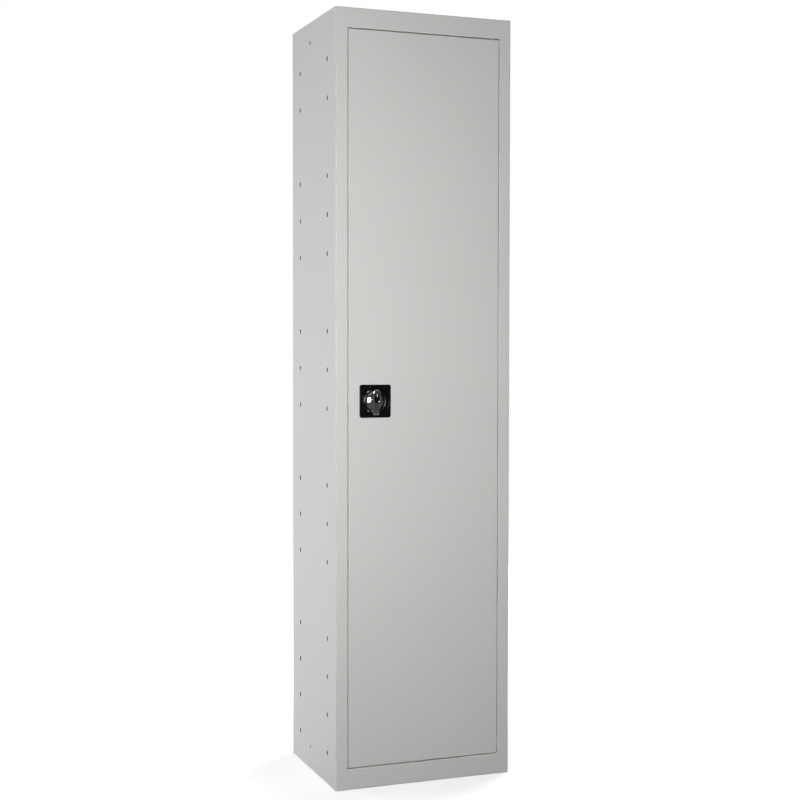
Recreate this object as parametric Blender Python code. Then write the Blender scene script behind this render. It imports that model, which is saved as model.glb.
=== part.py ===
"""A tall single-door steel cupboard: a folded carcass, loose shelves on clips, a flush door on two
hidden pivot pins, and a turn handle that drives a tongue and two lock rods.

Metres, +Z up. The origin is on the floor, in the middle of the carcass, and the door faces -Y.
"""

from math import acos, copysign, cos, pi, radians, sin, tan

import bmesh
import bpy
from mathutils import Vector

# Carcass
CABINET_HEIGHT = 1.850
CABINET_WIDTH = 0.450
CABINET_DEPTH = 0.350
SHEET = 0.0007
FOLD_RADIUS = 0.0015
FIT = 0.0003
STILE_WIDTH = 0.030
STOP_LIP = 0.010
STOP_STRIP_SETBACK = 0.006
REAR_FLANGE = 0.020
FOOT_FLANGE = 0.020
FOOT_END_GAP = 0.006

# Top, floor and the two front rails
TOP_RAIL_HEIGHT = 0.047
TOP_RAIL_FLANGE = 0.015
TOP_RAIL_LIP = 0.010
TOP_SIDE_FLANGE = 0.062
BOTTOM_RAIL_HEIGHT = 0.050
BOTTOM_RAIL_FOOT = 0.020
FLOOR_HEIGHT = 0.030
FLOOR_LEDGE = 0.015
FLOOR_SIDE_FLANGE = 0.040

# Screws that hold the top and the floor between the side panels
SCREW_RADIUS = 0.0015
SCREW_HEAD_RADIUS = 0.0036
SCREW_HEAD_HEIGHT = 0.0012
SCREW_SETBACK = 0.198
TOP_SCREW_DROP = 0.050
FLOOR_SCREW_HEIGHT = 0.057
SCREW_TAIL = 0.0015
NUT_RADIUS = 0.0036
NUT_HEIGHT = 0.003

# Shelf slots in the side panels
SLOT_WIDTH = 0.004
SLOT_HEIGHT = 0.010
SLOT_CORNER = 0.0008
SLOT_PITCH = 0.0924
FIRST_SLOT_DROP = 0.111
LAST_SLOT_HEIGHT = 0.075
FRONT_SLOT_SETBACK = 0.065
REAR_SLOT_SETBACK = 0.283
FIRST_SHELF_SLOT = 3
SLOTS_PER_SHELF = 4
SLOTS_BELOW_SHELF = 3

# Shelves and their clips
CLIP_SHEET = 0.0015
CLIP_WIDTH = 0.020
CLIP_LEDGE = 0.014
CLIP_ABOVE_SLOT = 0.0025
CLIP_BELOW_SLOT = 0.003
SHELF_SHEET = 0.0008
SHELF_HEIGHT = 0.025
SHELF_LIP = 0.012
SHELF_SIDE_GAP = 0.0025
SHELF_BACK_GAP = 0.003
SHELF_FRONT_GAP = 0.004

# Door
DOOR_END_GAP = 0.0025
DOOR_SIDE_GAP = 0.0016
DOOR_DEPTH = 0.018
DOOR_SHEET = 0.0009
DOOR_LIP = 0.012
PAN_EDGE = 0.0008
STIFFENER_X = 0.010
STIFFENER_WIDTH = 0.060
STIFFENER_FOOT = 0.015
STIFFENER_DEPTH = 0.013
STIFFENER_END_GAP = 0.020
BUMPER_RADIUS = 0.0035
BUMPER_THICKNESS = 0.002
BUMPER_INSET = 0.250

# Hidden door pivots
PIVOT_FROM_EDGE = 0.015
PIVOT_FROM_FRONT = 0.006
PIVOT_RADIUS = 0.0022
PIVOT_REACH = 0.010
PIVOT_HEAD_RADIUS = 0.0045
PIVOT_HEAD_HEIGHT = 0.002
BUSH_WALL = 0.0012
BUSH_LENGTH = 0.006
BUSH_COLLAR_RADIUS = 0.005
BUSH_COLLAR = 0.0008

# Lock dish, handle and key cylinder
LOCK_FROM_SIDE = 0.0983
LOCK_HEIGHT = 0.926
LOCK_PLATE_SIZE = 0.0785
LOCK_PLATE_CORNER = 0.004
LOCK_PLATE_THICKNESS = 0.003
DISH_RADIUS = 0.034
DISH_FLOOR_RADIUS = 0.028
DISH_DEPTH = 0.011
DISH_WALL = 0.0015
DISH_FLOOR_THICKNESS = 0.0025
RING_NUT_WIDTH = 0.005
RING_NUT_HEIGHT = 0.005
BOSS_RADIUS = 0.024
BOSS_HEIGHT = 0.008
BOSS_CROWN = 0.004
GRIP_TOP = 0.028
GRIP_BOTTOM = 0.0325
GRIP_TOP_WIDTH = 0.0195
GRIP_BOTTOM_WIDTH = 0.016
GRIP_CORNER = 0.004
GRIP_EDGE = 0.0015
GRIP_SINK = 0.003
GRIP_TOP_PROUD = 0.013
GRIP_BOTTOM_PROUD = 0.008
CYLINDER_FROM_TOP = 0.0145
CYLINDER_RADIUS = 0.0055
CYLINDER_DEPTH = 0.010
CYLINDER_PROUD = 0.0008
CYLINDER_EDGE = 0.0005
KEYWAY_WIDTH = 0.0014
KEYWAY_HEIGHT = 0.007
KEYWAY_DEPTH = 0.005

# Lock works behind the door
SPINDLE_RADIUS = 0.005
SPINDLE_BUSH_WALL = 0.0022
SPINDLE_COLLAR_RADIUS = 0.011
SPINDLE_COLLAR = 0.0015
CAM_RADIUS = 0.019
CAM_THICKNESS = 0.002
LATCH_CLEARANCE = 0.0007
TONGUE_WIDTH = 0.016
TONGUE_BITE = 0.008
CRANK_RADIUS = 0.014
CRANK_PIN_RADIUS = 0.0025
CRANK_HEAD_RADIUS = 0.0042
CRANK_HEAD_HEIGHT = 0.0015
ROD_WIDTH = 0.015
ROD_THICKNESS = 0.003
ROD_CLEARANCE = 0.001
ROD_END_WALL = 0.004
ROD_TIP_INSET = 0.002
YOKE_CLEARANCE = 0.0007
GUIDE_SHEET = 0.001
GUIDE_HEIGHT = 0.010
GUIDE_FOOT = 0.008
GUIDE_INSET = 0.001
GUIDE_CLEARANCE = 0.0008

# Facets on round shapes, and how far a cutter runs past what it cuts
FOLD_STEPS = 3
EDGE_STEPS = 2
CORNER_STEPS = 4
CURVE_STEPS = 5
SMALL_SIDES = 12
SPINDLE_SIDES = 16
ROUND_SIDES = 32
CUT_MARGIN = 0.002

# Planes and places that follow from the sizes
FRONT = -CABINET_DEPTH / 2
BACK = CABINET_DEPTH / 2
WALL_INNER = CABINET_WIDTH / 2 - SHEET
PANEL_HALF = WALL_INNER - FIT
OPENING_HALF = CABINET_WIDTH / 2 - STILE_WIDTH
BACK_PANEL_FACE = BACK - 2 * SHEET - FIT
PANEL_BACK = BACK_PANEL_FACE - FIT
HEAD_HEIGHT = CABINET_HEIGHT - TOP_RAIL_HEIGHT
DOOR_HALF = OPENING_HALF - DOOR_SIDE_GAP
DOOR_BOTTOM = BOTTOM_RAIL_HEIGHT + DOOR_END_GAP
DOOR_TOP = HEAD_HEIGHT - DOOR_END_GAP
DOOR_REAR = FRONT + DOOR_DEPTH
BUMPER_FACE = DOOR_REAR + FIT
STOP_FACE = BUMPER_FACE + BUMPER_THICKNESS + FIT
RETURN_REAR = STOP_FACE - FOLD_RADIUS - FIT
CAM_FACE = STOP_FACE + SHEET + LATCH_CLEARANCE
CAM_REAR = CAM_FACE + CAM_THICKNESS
ROD_FACE = CAM_REAR + ROD_CLEARANCE
ROD_REAR = ROD_FACE + ROD_THICKNESS
CRANK_HEAD_FACE = ROD_REAR + FIT
RAIL_REAR = ROD_FACE - ROD_CLEARANCE
SHELF_FRONT = CRANK_HEAD_FACE + CRANK_HEAD_HEIGHT + SHELF_FRONT_GAP
SHELF_HALF = WALL_INNER - SHELF_SIDE_GAP
SHELF_BACK = BACK_PANEL_FACE - SHELF_BACK_GAP
PIVOT = (DOOR_HALF - PIVOT_FROM_EDGE, FRONT + PIVOT_FROM_FRONT)
BUSH_BORE = PIVOT_RADIUS + FIT
BUSH_RADIUS = BUSH_BORE + BUSH_WALL
LOCK = (LOCK_FROM_SIDE - CABINET_WIDTH / 2, LOCK_HEIGHT)
PLATE_REAR = FRONT - FIT
PLATE_FACE = PLATE_REAR - LOCK_PLATE_THICKNESS
DISH_FLOOR = PLATE_FACE + DISH_DEPTH
DISH_REAR = DISH_FLOOR + DISH_FLOOR_THICKNESS
DISH_BODY_RADIUS = DISH_RADIUS + DISH_WALL
HANDLE_REAR = DISH_FLOOR - FIT
SPINDLE_BORE = SPINDLE_RADIUS + FIT
SPINDLE_BUSH_RADIUS = SPINDLE_BORE + SPINDLE_BUSH_WALL
CYLINDER = (LOCK[0], LOCK_HEIGHT + GRIP_TOP - CYLINDER_FROM_TOP)
CRANK_OFFSET = CRANK_RADIUS * sin(pi / 4)
ROD_OFFSET = (CRANK_RADIUS + CRANK_OFFSET) / 2
SCREW_Y = FRONT + SCREW_SETBACK
SCREW_HEIGHTS = {"top": CABINET_HEIGHT - TOP_SCREW_DROP, "floor": FLOOR_SCREW_HEIGHT}
SLOT_COUNT = int((CABINET_HEIGHT - FIRST_SLOT_DROP - LAST_SLOT_HEIGHT) / SLOT_PITCH) + 1
STUB_GAP = FIT + SLOT_CORNER * (1 - cos(pi / 4))
SLOT_PLACES = {"front": FRONT + FRONT_SLOT_SETBACK, "rear": FRONT + REAR_SLOT_SETBACK}
SHELF_SLOTS = range(FIRST_SHELF_SLOT, SLOT_COUNT - SLOTS_BELOW_SHELF + 1, SLOTS_PER_SHELF)
SIDES = {"left": -1, "right": 1}

# Colour, roughness and metallic value of each finish
FINISHES = {
    "grey_paint": ((0.545, 0.545, 0.525), 0.45, 0.0),
    "zinc": ((0.60, 0.61, 0.63), 0.35, 1.0),
    "chrome": ((0.78, 0.78, 0.80), 0.08, 1.0),
    "black_plastic": ((0.012, 0.012, 0.013), 0.25, 0.0),
    "nylon": ((0.70, 0.69, 0.65), 0.50, 0.0),
    "rubber": ((0.03, 0.03, 0.03), 0.80, 0.0),
}


def clear_scene():
    for thing in list(bpy.data.objects):
        bpy.data.objects.remove(thing, do_unlink=True)


def make_finish(name):
    colour, roughness, metallic = FINISHES[name]
    finish = bpy.data.materials.new(name)
    finish.use_nodes = True
    shader = finish.node_tree.nodes["Principled BSDF"]
    shader.inputs["Base Color"].default_value = (*colour, 1)
    shader.inputs["Roughness"].default_value = roughness
    shader.inputs["Metallic"].default_value = metallic
    return finish


# Outlines

def circle(radius, sides, centre=(0, 0)):
    turns = [pi * (2 * i + 1) / sides for i in range(sides)]
    return [(centre[0] + radius * cos(a), centre[1] + radius * sin(a)) for a in turns]


def rectangle(low, high):
    return [(low[0], low[1]), (high[0], low[1]), (high[0], high[1]), (low[0], high[1])]


def centred(centre, width, height):
    """A rectangle about a point."""
    low = (centre[0] - width / 2, centre[1] - height / 2)
    return rectangle(low, (low[0] + width, low[1] + height))


def rounded(path, radius, steps, closed=False):
    """The path with each corner turned into an arc."""
    points = [Vector(p) for p in path]
    result = []
    for i, corner in enumerate(points):
        if not closed and i in (0, len(points) - 1):
            result.append(corner)
            continue
        back = (points[i - 1] - corner).normalized()
        ahead = (points[(i + 1) % len(points)] - corner).normalized()
        half = back.angle(ahead) / 2
        centre = corner + (back + ahead).normalized() * (radius / sin(half))
        start = (corner + back * (radius / tan(half)) - centre).normalized()
        end = (corner + ahead * (radius / tan(half)) - centre).normalized()
        result += [centre + start.slerp(end, step / steps) * radius for step in range(steps + 1)]
    return [tuple(p) for p in result]


def folded(path, side, thickness=SHEET):
    """Outline of a folded sheet: the path is one face, and the metal lies left of it for side 1."""
    points = [Vector(p) for p in rounded(path, FOLD_RADIUS, FOLD_STEPS)]
    other = []
    for i, point in enumerate(points):
        runs = [points[k + 1] - points[k] for k in (i - 1, i) if 0 <= k < len(points) - 1]
        normals = [Vector((-run.y, run.x)).normalized() * side for run in runs]
        middle = sum(normals, Vector((0, 0))).normalized()
        other.append(point + middle * (thickness / middle.dot(normals[0])))
    return [tuple(p) for p in points + other[::-1]]


# Solids

def place(along, a, b, depth):
    """A point from its two outline coordinates and its distance along the third axis."""
    return {"X": (depth, a, b), "Y": (a, depth, b), "Z": (a, b, depth)}[along]


def prism(outline, along, start, end, into=None):
    """An outline pushed along one axis."""
    mesh = into or bmesh.new()
    face = mesh.faces.new([mesh.verts.new(place(along, a, b, start)) for a, b in outline])
    moved = bmesh.ops.extrude_face_region(mesh, geom=[face])["geom"]
    ends = [part for part in moved if isinstance(part, bmesh.types.BMVert)]
    bmesh.ops.translate(mesh, vec=place(along, 0, 0, end - start), verts=ends)
    bmesh.ops.recalc_face_normals(mesh, faces=mesh.faces)
    return mesh


def block(low, high):
    return prism(rectangle(low, high), "Z", low[2], high[2])


def turned(profile, along, centre, sides, hollow=False):
    """A solid of revolution: the profile lists a radius and its distance along the axis."""
    mesh = bmesh.new()
    rings = []
    for radius, depth in profile:
        outline = circle(radius, sides, centre)
        rings.append([mesh.verts.new(place(along, a, b, depth)) for a, b in outline])
    pairs = list(zip(rings, rings[1:]))
    if hollow:
        pairs.append((rings[-1], rings[0]))
    else:
        mesh.faces.new(rings[0])
        mesh.faces.new(rings[-1])
    for low, high in pairs:
        for i in range(sides):
            j = (i + 1) % sides
            mesh.faces.new((low[i], low[j], high[j], high[i]))
    bmesh.ops.recalc_face_normals(mesh, faces=mesh.faces)
    return mesh


def ring(bore, radius, along, centre, start, end, sides):
    profile = [(bore, start), (radius, start), (radius, end), (bore, end)]
    return turned(profile, along, centre, sides, hollow=True)


# Objects

def add_object(name, mesh, finish=None, smooth=False):
    data = bpy.data.meshes.new(name)
    mesh.to_mesh(data)
    mesh.free()
    if finish:
        data.materials.append(MATERIALS[finish])
    if smooth:
        data.shade_smooth()
        data.set_sharp_from_angle(angle=radians(35))
    return link(name, data)


def link(name, data):
    thing = bpy.data.objects.new(name, data)
    bpy.context.scene.collection.objects.link(thing)
    return thing


def combine(target, operation, mesh):
    """Joins a hidden shape to an object, or cuts it out."""
    tool = add_object(f"{target.name}_{operation.lower()}", mesh)
    tool.hide_render = True
    tool.display_type = "WIRE"
    tool.parent = target
    change = target.modifiers.new(tool.name, "BOOLEAN")
    change.operation = operation
    change.solver = "EXACT"
    change.object = tool


def add_pivot(name, location, above=None):
    """An empty on a joint's axis, for the pieces that move with it."""
    pivot = link(name, None)
    pivot.location = location
    if above:
        hang(above, pivot)
    return pivot


def hang(pivot, *pieces):
    """Parents pieces to a pivot and leaves them where they are."""
    base = Vector()
    above = pivot
    while above:
        base += above.location
        above = above.parent
    for piece in pieces:
        piece.parent = pivot
        piece.location -= base


def pan(name, low, high, wall, lip, axis, sign):
    """A sheet tray with turned-in lips, whose skin faces sign along the axis."""
    mesh = block(low, high)
    skin = max(mesh.faces, key=lambda face: sign * face.calc_center_median()[axis])
    bmesh.ops.bevel(
        mesh, geom=list(skin.edges), offset=PAN_EDGE, segments=EDGE_STEPS, profile=0.5, affect="EDGES"
    )
    tray = add_object(name, mesh, "grey_paint")
    hollow_low, hollow_high = [v + wall for v in low], [v - wall for v in high]
    mouth_low, mouth_high = [v + lip for v in low], [v - lip for v in high]
    if sign < 0:
        mouth_low[axis] = (low[axis] + high[axis]) / 2
        mouth_high[axis] = high[axis] + CUT_MARGIN
    else:
        mouth_low[axis] = low[axis] - CUT_MARGIN
        mouth_high[axis] = (low[axis] + high[axis]) / 2
    combine(tray, "DIFFERENCE", block(hollow_low, hollow_high))
    combine(tray, "DIFFERENCE", block(mouth_low, mouth_high))
    return tray


# Carcass

def slot_height(number):
    """Height of a slot's centre, counted from the top."""
    return CABINET_HEIGHT - FIRST_SLOT_DROP - (number - 1) * SLOT_PITCH


def add_side_panel(side):
    """One folded sheet: rear flange, wall, stile and a return that stops under the top."""
    sign = SIDES[side]
    edge = sign * CABINET_WIDTH / 2
    stile = sign * OPENING_HALF
    path = [
        (edge - sign * REAR_FLANGE, BACK),
        (edge, BACK),
        (edge, FRONT),
        (stile, FRONT),
        (stile, RETURN_REAR),
    ]
    panel = add_object(
        f"{side}_side_panel", prism(folded(path, -sign), "Z", 0, CABINET_HEIGHT), "grey_paint"
    )
    foot = sorted((edge - sign * SHEET / 2, edge - sign * FOOT_FLANGE))
    foot_low = (foot[0], STOP_FACE + SHEET + FOOT_END_GAP, 0)
    foot_high = (foot[1], BACK_PANEL_FACE - FOOT_END_GAP, SHEET)
    combine(panel, "UNION", block(foot_low, foot_high))
    holes = bmesh.new()
    span = (edge - sign * CUT_MARGIN, edge + sign * CUT_MARGIN)
    for number in range(1, SLOT_COUNT + 1):
        for y in SLOT_PLACES.values():
            outline = centred((y, slot_height(number)), SLOT_WIDTH, SLOT_HEIGHT)
            prism(rounded(outline, SLOT_CORNER, EDGE_STEPS, closed=True), "X", *span, into=holes)
    for z in SCREW_HEIGHTS.values():
        prism(circle(SCREW_RADIUS + FIT, SMALL_SIDES, (SCREW_Y, z)), "X", *span, into=holes)
    notch_low = (stile - sign * CUT_MARGIN, FRONT + FOLD_RADIUS)
    notch_high = (stile + sign * FOLD_RADIUS, RETURN_REAR + CUT_MARGIN)
    notch_base = CABINET_HEIGHT - SHEET - FIT
    notch = rectangle(notch_low, notch_high)
    prism(notch, "Z", notch_base, CABINET_HEIGHT + CUT_MARGIN, into=holes)
    combine(panel, "DIFFERENCE", holes)


def add_stop_strip():
    """An angle welded to the left stile's return, which the door closes against."""
    leg = -OPENING_HALF - SHEET - FIT
    path = [
        (leg, FRONT + STOP_STRIP_SETBACK),
        (leg, STOP_FACE),
        (STOP_LIP - OPENING_HALF, STOP_FACE),
    ]
    add_object("door_stop_strip", prism(folded(path, 1), "Z", DOOR_BOTTOM, DOOR_TOP), "grey_paint")


def add_back_panel():
    half = CABINET_WIDTH / 2 - FOLD_RADIUS - FIT
    low = (-half, BACK_PANEL_FACE, FIT)
    high = (half, BACK_PANEL_FACE + SHEET, CABINET_HEIGHT - FIT)
    add_object("back_panel", block(low, high), "grey_paint")


def cut_screw_holes(panel, z):
    hole = circle(SCREW_RADIUS + FIT, SMALL_SIDES, (SCREW_Y, z))
    combine(panel, "DIFFERENCE", prism(hole, "X", -CABINET_WIDTH / 2, CABINET_WIDTH / 2))


def add_top_panel():
    """A flat top whose two sides are folded down against the side panels."""
    drop = CABINET_HEIGHT - TOP_SIDE_FLANGE
    path = [
        (-PANEL_HALF, drop),
        (-PANEL_HALF, CABINET_HEIGHT),
        (PANEL_HALF, CABINET_HEIGHT),
        (PANEL_HALF, drop),
    ]
    start = FRONT + FOLD_RADIUS + FIT
    panel = add_object("top_panel", prism(folded(path, -1), "Y", start, PANEL_BACK), "grey_paint")
    cut_screw_holes(panel, SCREW_HEIGHTS["top"])


def add_floor_panel():
    """A flat floor whose two sides are folded up against the side panels."""
    underside = FLOOR_HEIGHT - SHEET
    rise = FLOOR_HEIGHT + FLOOR_SIDE_FLANGE
    path = [
        (-PANEL_HALF, rise),
        (-PANEL_HALF, underside),
        (PANEL_HALF, underside),
        (PANEL_HALF, rise),
    ]
    start = RAIL_REAR + FOLD_RADIUS + FIT
    panel = add_object("floor_panel", prism(folded(path, 1), "Y", start, PANEL_BACK), "grey_paint")
    cut_screw_holes(panel, SCREW_HEIGHTS["floor"])


def add_rail(name, path, side, hinge_face):
    """A folded rail between the stiles, with a hole for a hinge pin through its inner flange."""
    half = OPENING_HALF - FIT
    rail = add_object(name, prism(folded(path, side), "X", -half, half), "grey_paint")
    hole = circle(PIVOT_RADIUS + FIT, SMALL_SIDES, PIVOT)
    combine(
        rail, "DIFFERENCE", prism(hole, "Z", hinge_face - CUT_MARGIN, hinge_face + CUT_MARGIN)
    )


def add_top_rail():
    top = CABINET_HEIGHT - SHEET - FIT
    path = [
        (FRONT + TOP_RAIL_FLANGE, top),
        (FRONT, top),
        (FRONT, HEAD_HEIGHT),
        (RAIL_REAR, HEAD_HEIGHT),
        (RAIL_REAR, HEAD_HEIGHT + TOP_RAIL_LIP),
    ]
    add_rail("top_rail", path, 1, HEAD_HEIGHT)


def add_bottom_rail():
    """The plinth: its inner edge steps down to a ledge that carries the floor."""
    ledge = FLOOR_HEIGHT - SHEET - FIT
    path = [
        (FRONT + BOTTOM_RAIL_FOOT, 0),
        (FRONT, 0),
        (FRONT, BOTTOM_RAIL_HEIGHT),
        (RAIL_REAR, BOTTOM_RAIL_HEIGHT),
        (RAIL_REAR, ledge),
        (RAIL_REAR + FLOOR_LEDGE, ledge),
    ]
    add_rail("bottom_rail", path, -1, BOTTOM_RAIL_HEIGHT)


def add_screw(end, side):
    """A domed screw from outside, and its nut on the folded flange inside."""
    sign = SIDES[side]
    centre = (SCREW_Y, SCREW_HEIGHTS[end])
    seat = CABINET_WIDTH / 2 + FIT
    nut_seat = PANEL_HALF - SHEET - FIT
    nut_end = nut_seat - NUT_HEIGHT
    profile = [
        (SCREW_HEAD_RADIUS / 2, seat + SCREW_HEAD_HEIGHT),
        (SCREW_HEAD_RADIUS, seat + SCREW_HEAD_HEIGHT / 2),
        (SCREW_HEAD_RADIUS, seat),
        (SCREW_RADIUS, seat),
        (SCREW_RADIUS, nut_end - SCREW_TAIL),
    ]
    shape = [(radius, sign * depth) for radius, depth in profile]
    add_object(f"{end}_{side}_screw", turned(shape, "X", centre, SMALL_SIDES), "zinc", smooth=True)
    bore = (SCREW_RADIUS + FIT) / cos(pi / 6)
    nut = ring(bore, NUT_RADIUS, "X", centre, sign * nut_end, sign * nut_seat, 6)
    add_object(f"{end}_{side}_nut", nut, "zinc")


# Shelves

def clip_data(side):
    """A bent clip about its slot's centre: a ledge, a plate on the wall and a stub in the slot."""
    sign = SIDES[side]
    outer = PANEL_HALF
    top = SLOT_HEIGHT / 2 + CLIP_ABOVE_SLOT
    low = -SLOT_HEIGHT / 2 - CLIP_BELOW_SLOT
    profile = [
        (outer, low),
        (outer, top),
        (outer - CLIP_LEDGE, top),
        (outer - CLIP_LEDGE, top - CLIP_SHEET),
        (outer - CLIP_SHEET, top - CLIP_SHEET),
        (outer - CLIP_SHEET, low),
    ]
    shape = [(sign * x, z) for x, z in profile]
    mesh = prism(shape, "Y", -CLIP_WIDTH / 2, CLIP_WIDTH / 2)
    stub = max(mesh.faces, key=lambda face: sign * face.calc_center_median().x)
    middle = (low + top) / 2
    bmesh.ops.inset_individual(mesh, faces=[stub], thickness=CUT_MARGIN)
    for corner in stub.verts:
        corner.co.y = copysign(SLOT_WIDTH / 2 - STUB_GAP, corner.co.y)
        corner.co.z = copysign(SLOT_HEIGHT / 2 - STUB_GAP, corner.co.z - middle)
    moved = bmesh.ops.extrude_face_region(mesh, geom=[stub])["geom"]
    mesh.faces.remove(stub)
    ends = [part for part in moved if isinstance(part, bmesh.types.BMVert)]
    bmesh.ops.translate(mesh, vec=(sign * (FIT + SHEET), 0, 0), verts=ends)
    bmesh.ops.recalc_face_normals(mesh, faces=mesh.faces)
    data = bpy.data.meshes.new(f"{side}_clip")
    mesh.to_mesh(data)
    mesh.free()
    data.materials.append(MATERIALS["zinc"])
    return data


def add_shelf(level, slot, clips):
    """A folded shelf resting on four clips."""
    centre = slot_height(slot)
    for side, data in clips.items():
        for end, y in SLOT_PLACES.items():
            link(f"clip_{level}_{end}_{side}", data).location = (0, y, centre)
    base = centre + SLOT_HEIGHT / 2 + CLIP_ABOVE_SLOT + FIT
    low = (-SHELF_HALF, SHELF_FRONT, base)
    high = (SHELF_HALF, SHELF_BACK, base + SHELF_HEIGHT)
    shelf = pan(f"shelf_{level}", low, high, SHELF_SHEET, SHELF_LIP, 2, 1)
    hang(add_pivot(f"shelf_{level}_lift", (0, 0, base)), shelf)


# Door and its pivots

def add_door_panel():
    low = (-DOOR_HALF, FRONT, DOOR_BOTTOM)
    high = (DOOR_HALF, DOOR_REAR, DOOR_TOP)
    door = pan("door_panel", low, high, DOOR_SHEET, DOOR_LIP, 1, -1)
    holes = prism(
        circle(DISH_BODY_RADIUS + FIT, ROUND_SIDES, LOCK),
        "Y",
        FRONT - CUT_MARGIN,
        FRONT + CUT_MARGIN,
    )
    for z in (DOOR_BOTTOM, DOOR_TOP):
        hole = circle(BUSH_RADIUS + FIT, SMALL_SIDES, PIVOT)
        prism(hole, "Z", z - CUT_MARGIN, z + CUT_MARGIN, into=holes)
    combine(door, "DIFFERENCE", holes)
    return door


def add_stiffener():
    """A hat-section channel bonded up the middle of the door."""
    skin = FRONT + DOOR_SHEET + FIT
    web = skin + STIFFENER_DEPTH
    left = STIFFENER_X - STIFFENER_WIDTH / 2
    right = STIFFENER_X + STIFFENER_WIDTH / 2
    path = [
        (left, skin),
        (left + STIFFENER_FOOT, skin),
        (left + STIFFENER_FOOT, web),
        (right - STIFFENER_FOOT, web),
        (right - STIFFENER_FOOT, skin),
        (right, skin),
    ]
    start = DOOR_BOTTOM + STIFFENER_END_GAP
    end = DOOR_TOP - STIFFENER_END_GAP
    return add_object("door_stiffener", prism(folded(path, 1), "Z", start, end), "grey_paint")


def add_bumpers():
    """Rubber buttons on the stop strip, behind the door's free edge."""
    x = STOP_LIP - OPENING_HALF - BUMPER_RADIUS - FIT
    profile = [
        (BUMPER_RADIUS / 2, BUMPER_FACE),
        (BUMPER_RADIUS, BUMPER_FACE + BUMPER_THICKNESS / 2),
        (BUMPER_RADIUS, BUMPER_FACE + BUMPER_THICKNESS),
    ]
    for name, z in (("lower", DOOR_BOTTOM + BUMPER_INSET), ("upper", DOOR_TOP - BUMPER_INSET)):
        mesh = turned(profile, "Y", (x, z), SMALL_SIDES)
        add_object(f"{name}_door_bumper", mesh, "rubber", smooth=True)


def add_hinge(name, rail_face, door_face, up):
    """A headed pin through a rail into a collared bush in the door; up is 1 where the pin points up."""
    head = rail_face - up * (SHEET + FIT)
    inside = door_face + up * DOOR_SHEET
    profile = [
        (PIVOT_HEAD_RADIUS, head - up * PIVOT_HEAD_HEIGHT),
        (PIVOT_HEAD_RADIUS, head),
        (PIVOT_RADIUS, head),
        (PIVOT_RADIUS, inside + up * PIVOT_REACH),
    ]
    pin = turned(profile, "Z", PIVOT, SMALL_SIDES)
    add_object(f"{name}_hinge_pin", pin, "zinc", smooth=True)
    collar = door_face - up * FIT
    edge = collar - up * BUSH_COLLAR
    end = inside + up * BUSH_LENGTH
    profile = [
        (BUSH_BORE, edge),
        (BUSH_COLLAR_RADIUS, edge),
        (BUSH_COLLAR_RADIUS, collar),
        (BUSH_RADIUS, collar),
        (BUSH_RADIUS, end),
        (BUSH_BORE, end),
    ]
    bush = turned(profile, "Z", PIVOT, SMALL_SIDES, hollow=True)
    return add_object(f"{name}_hinge_bush", bush, "nylon", smooth=True)


def add_hinge_washer():
    """The washer on the bottom rail that carries the door's weight."""
    low = BOTTOM_RAIL_HEIGHT + FIT
    high = DOOR_BOTTOM - 2 * FIT - BUSH_COLLAR
    mesh = ring(BUSH_BORE, BUSH_COLLAR_RADIUS, "Z", PIVOT, low, high, SMALL_SIDES)
    add_object("hinge_washer", mesh, "zinc", smooth=True)


# Lock

def add_lock_base():
    """A square plate with a round dish that passes through the door."""
    outline = rounded(
        centred(LOCK, LOCK_PLATE_SIZE, LOCK_PLATE_SIZE), LOCK_PLATE_CORNER, CORNER_STEPS, closed=True
    )
    base = add_object("lock_base", prism(outline, "Y", PLATE_FACE, PLATE_REAR), "black_plastic")
    inside_plate = (PLATE_FACE + PLATE_REAR) / 2
    body = [(DISH_BODY_RADIUS, inside_plate), (DISH_BODY_RADIUS, DISH_REAR)]
    combine(base, "UNION", turned(body, "Y", LOCK, ROUND_SIDES))
    dish = [(DISH_RADIUS, PLATE_FACE - CUT_MARGIN)]
    for step in range(CURVE_STEPS + 1):
        turn = pi / 2 * step / CURVE_STEPS
        radius = DISH_FLOOR_RADIUS + (DISH_RADIUS - DISH_FLOOR_RADIUS) * cos(turn)
        dish.append((radius, PLATE_FACE + DISH_DEPTH * sin(turn)))
    bore = SPINDLE_BUSH_RADIUS + FIT
    dish += [(bore, DISH_FLOOR), (bore, DISH_REAR + CUT_MARGIN)]
    combine(base, "DIFFERENCE", turned(dish, "Y", LOCK, ROUND_SIDES))
    return base


def add_ring_nut():
    bore = DISH_BODY_RADIUS + FIT
    seat = FRONT + DOOR_SHEET + FIT
    mesh = ring(bore, bore + RING_NUT_WIDTH, "Y", LOCK, seat, seat + RING_NUT_HEIGHT, ROUND_SIDES)
    return add_object("lock_ring_nut", mesh, "zinc", smooth=True)


def add_spindle_bush():
    collar = DISH_REAR + FIT
    profile = [
        (SPINDLE_BORE, DISH_FLOOR + FIT),
        (SPINDLE_BUSH_RADIUS, DISH_FLOOR + FIT),
        (SPINDLE_BUSH_RADIUS, collar),
        (SPINDLE_COLLAR_RADIUS, collar),
        (SPINDLE_COLLAR_RADIUS, collar + SPINDLE_COLLAR),
        (SPINDLE_BUSH_RADIUS, collar + SPINDLE_COLLAR),
        (SPINDLE_BUSH_RADIUS, CAM_FACE - FIT),
        (SPINDLE_BORE, CAM_FACE - FIT),
    ]
    mesh = turned(profile, "Y", LOCK, SPINDLE_SIDES, hollow=True)
    return add_object("spindle_bush", mesh, "zinc", smooth=True)


def grip_face(z):
    """How far forward the grip's sloping face is at a height above the lock's centre."""
    share = (z + GRIP_BOTTOM) / (GRIP_TOP + GRIP_BOTTOM)
    return PLATE_FACE - GRIP_BOTTOM_PROUD - share * (GRIP_TOP_PROUD - GRIP_BOTTOM_PROUD)


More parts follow.
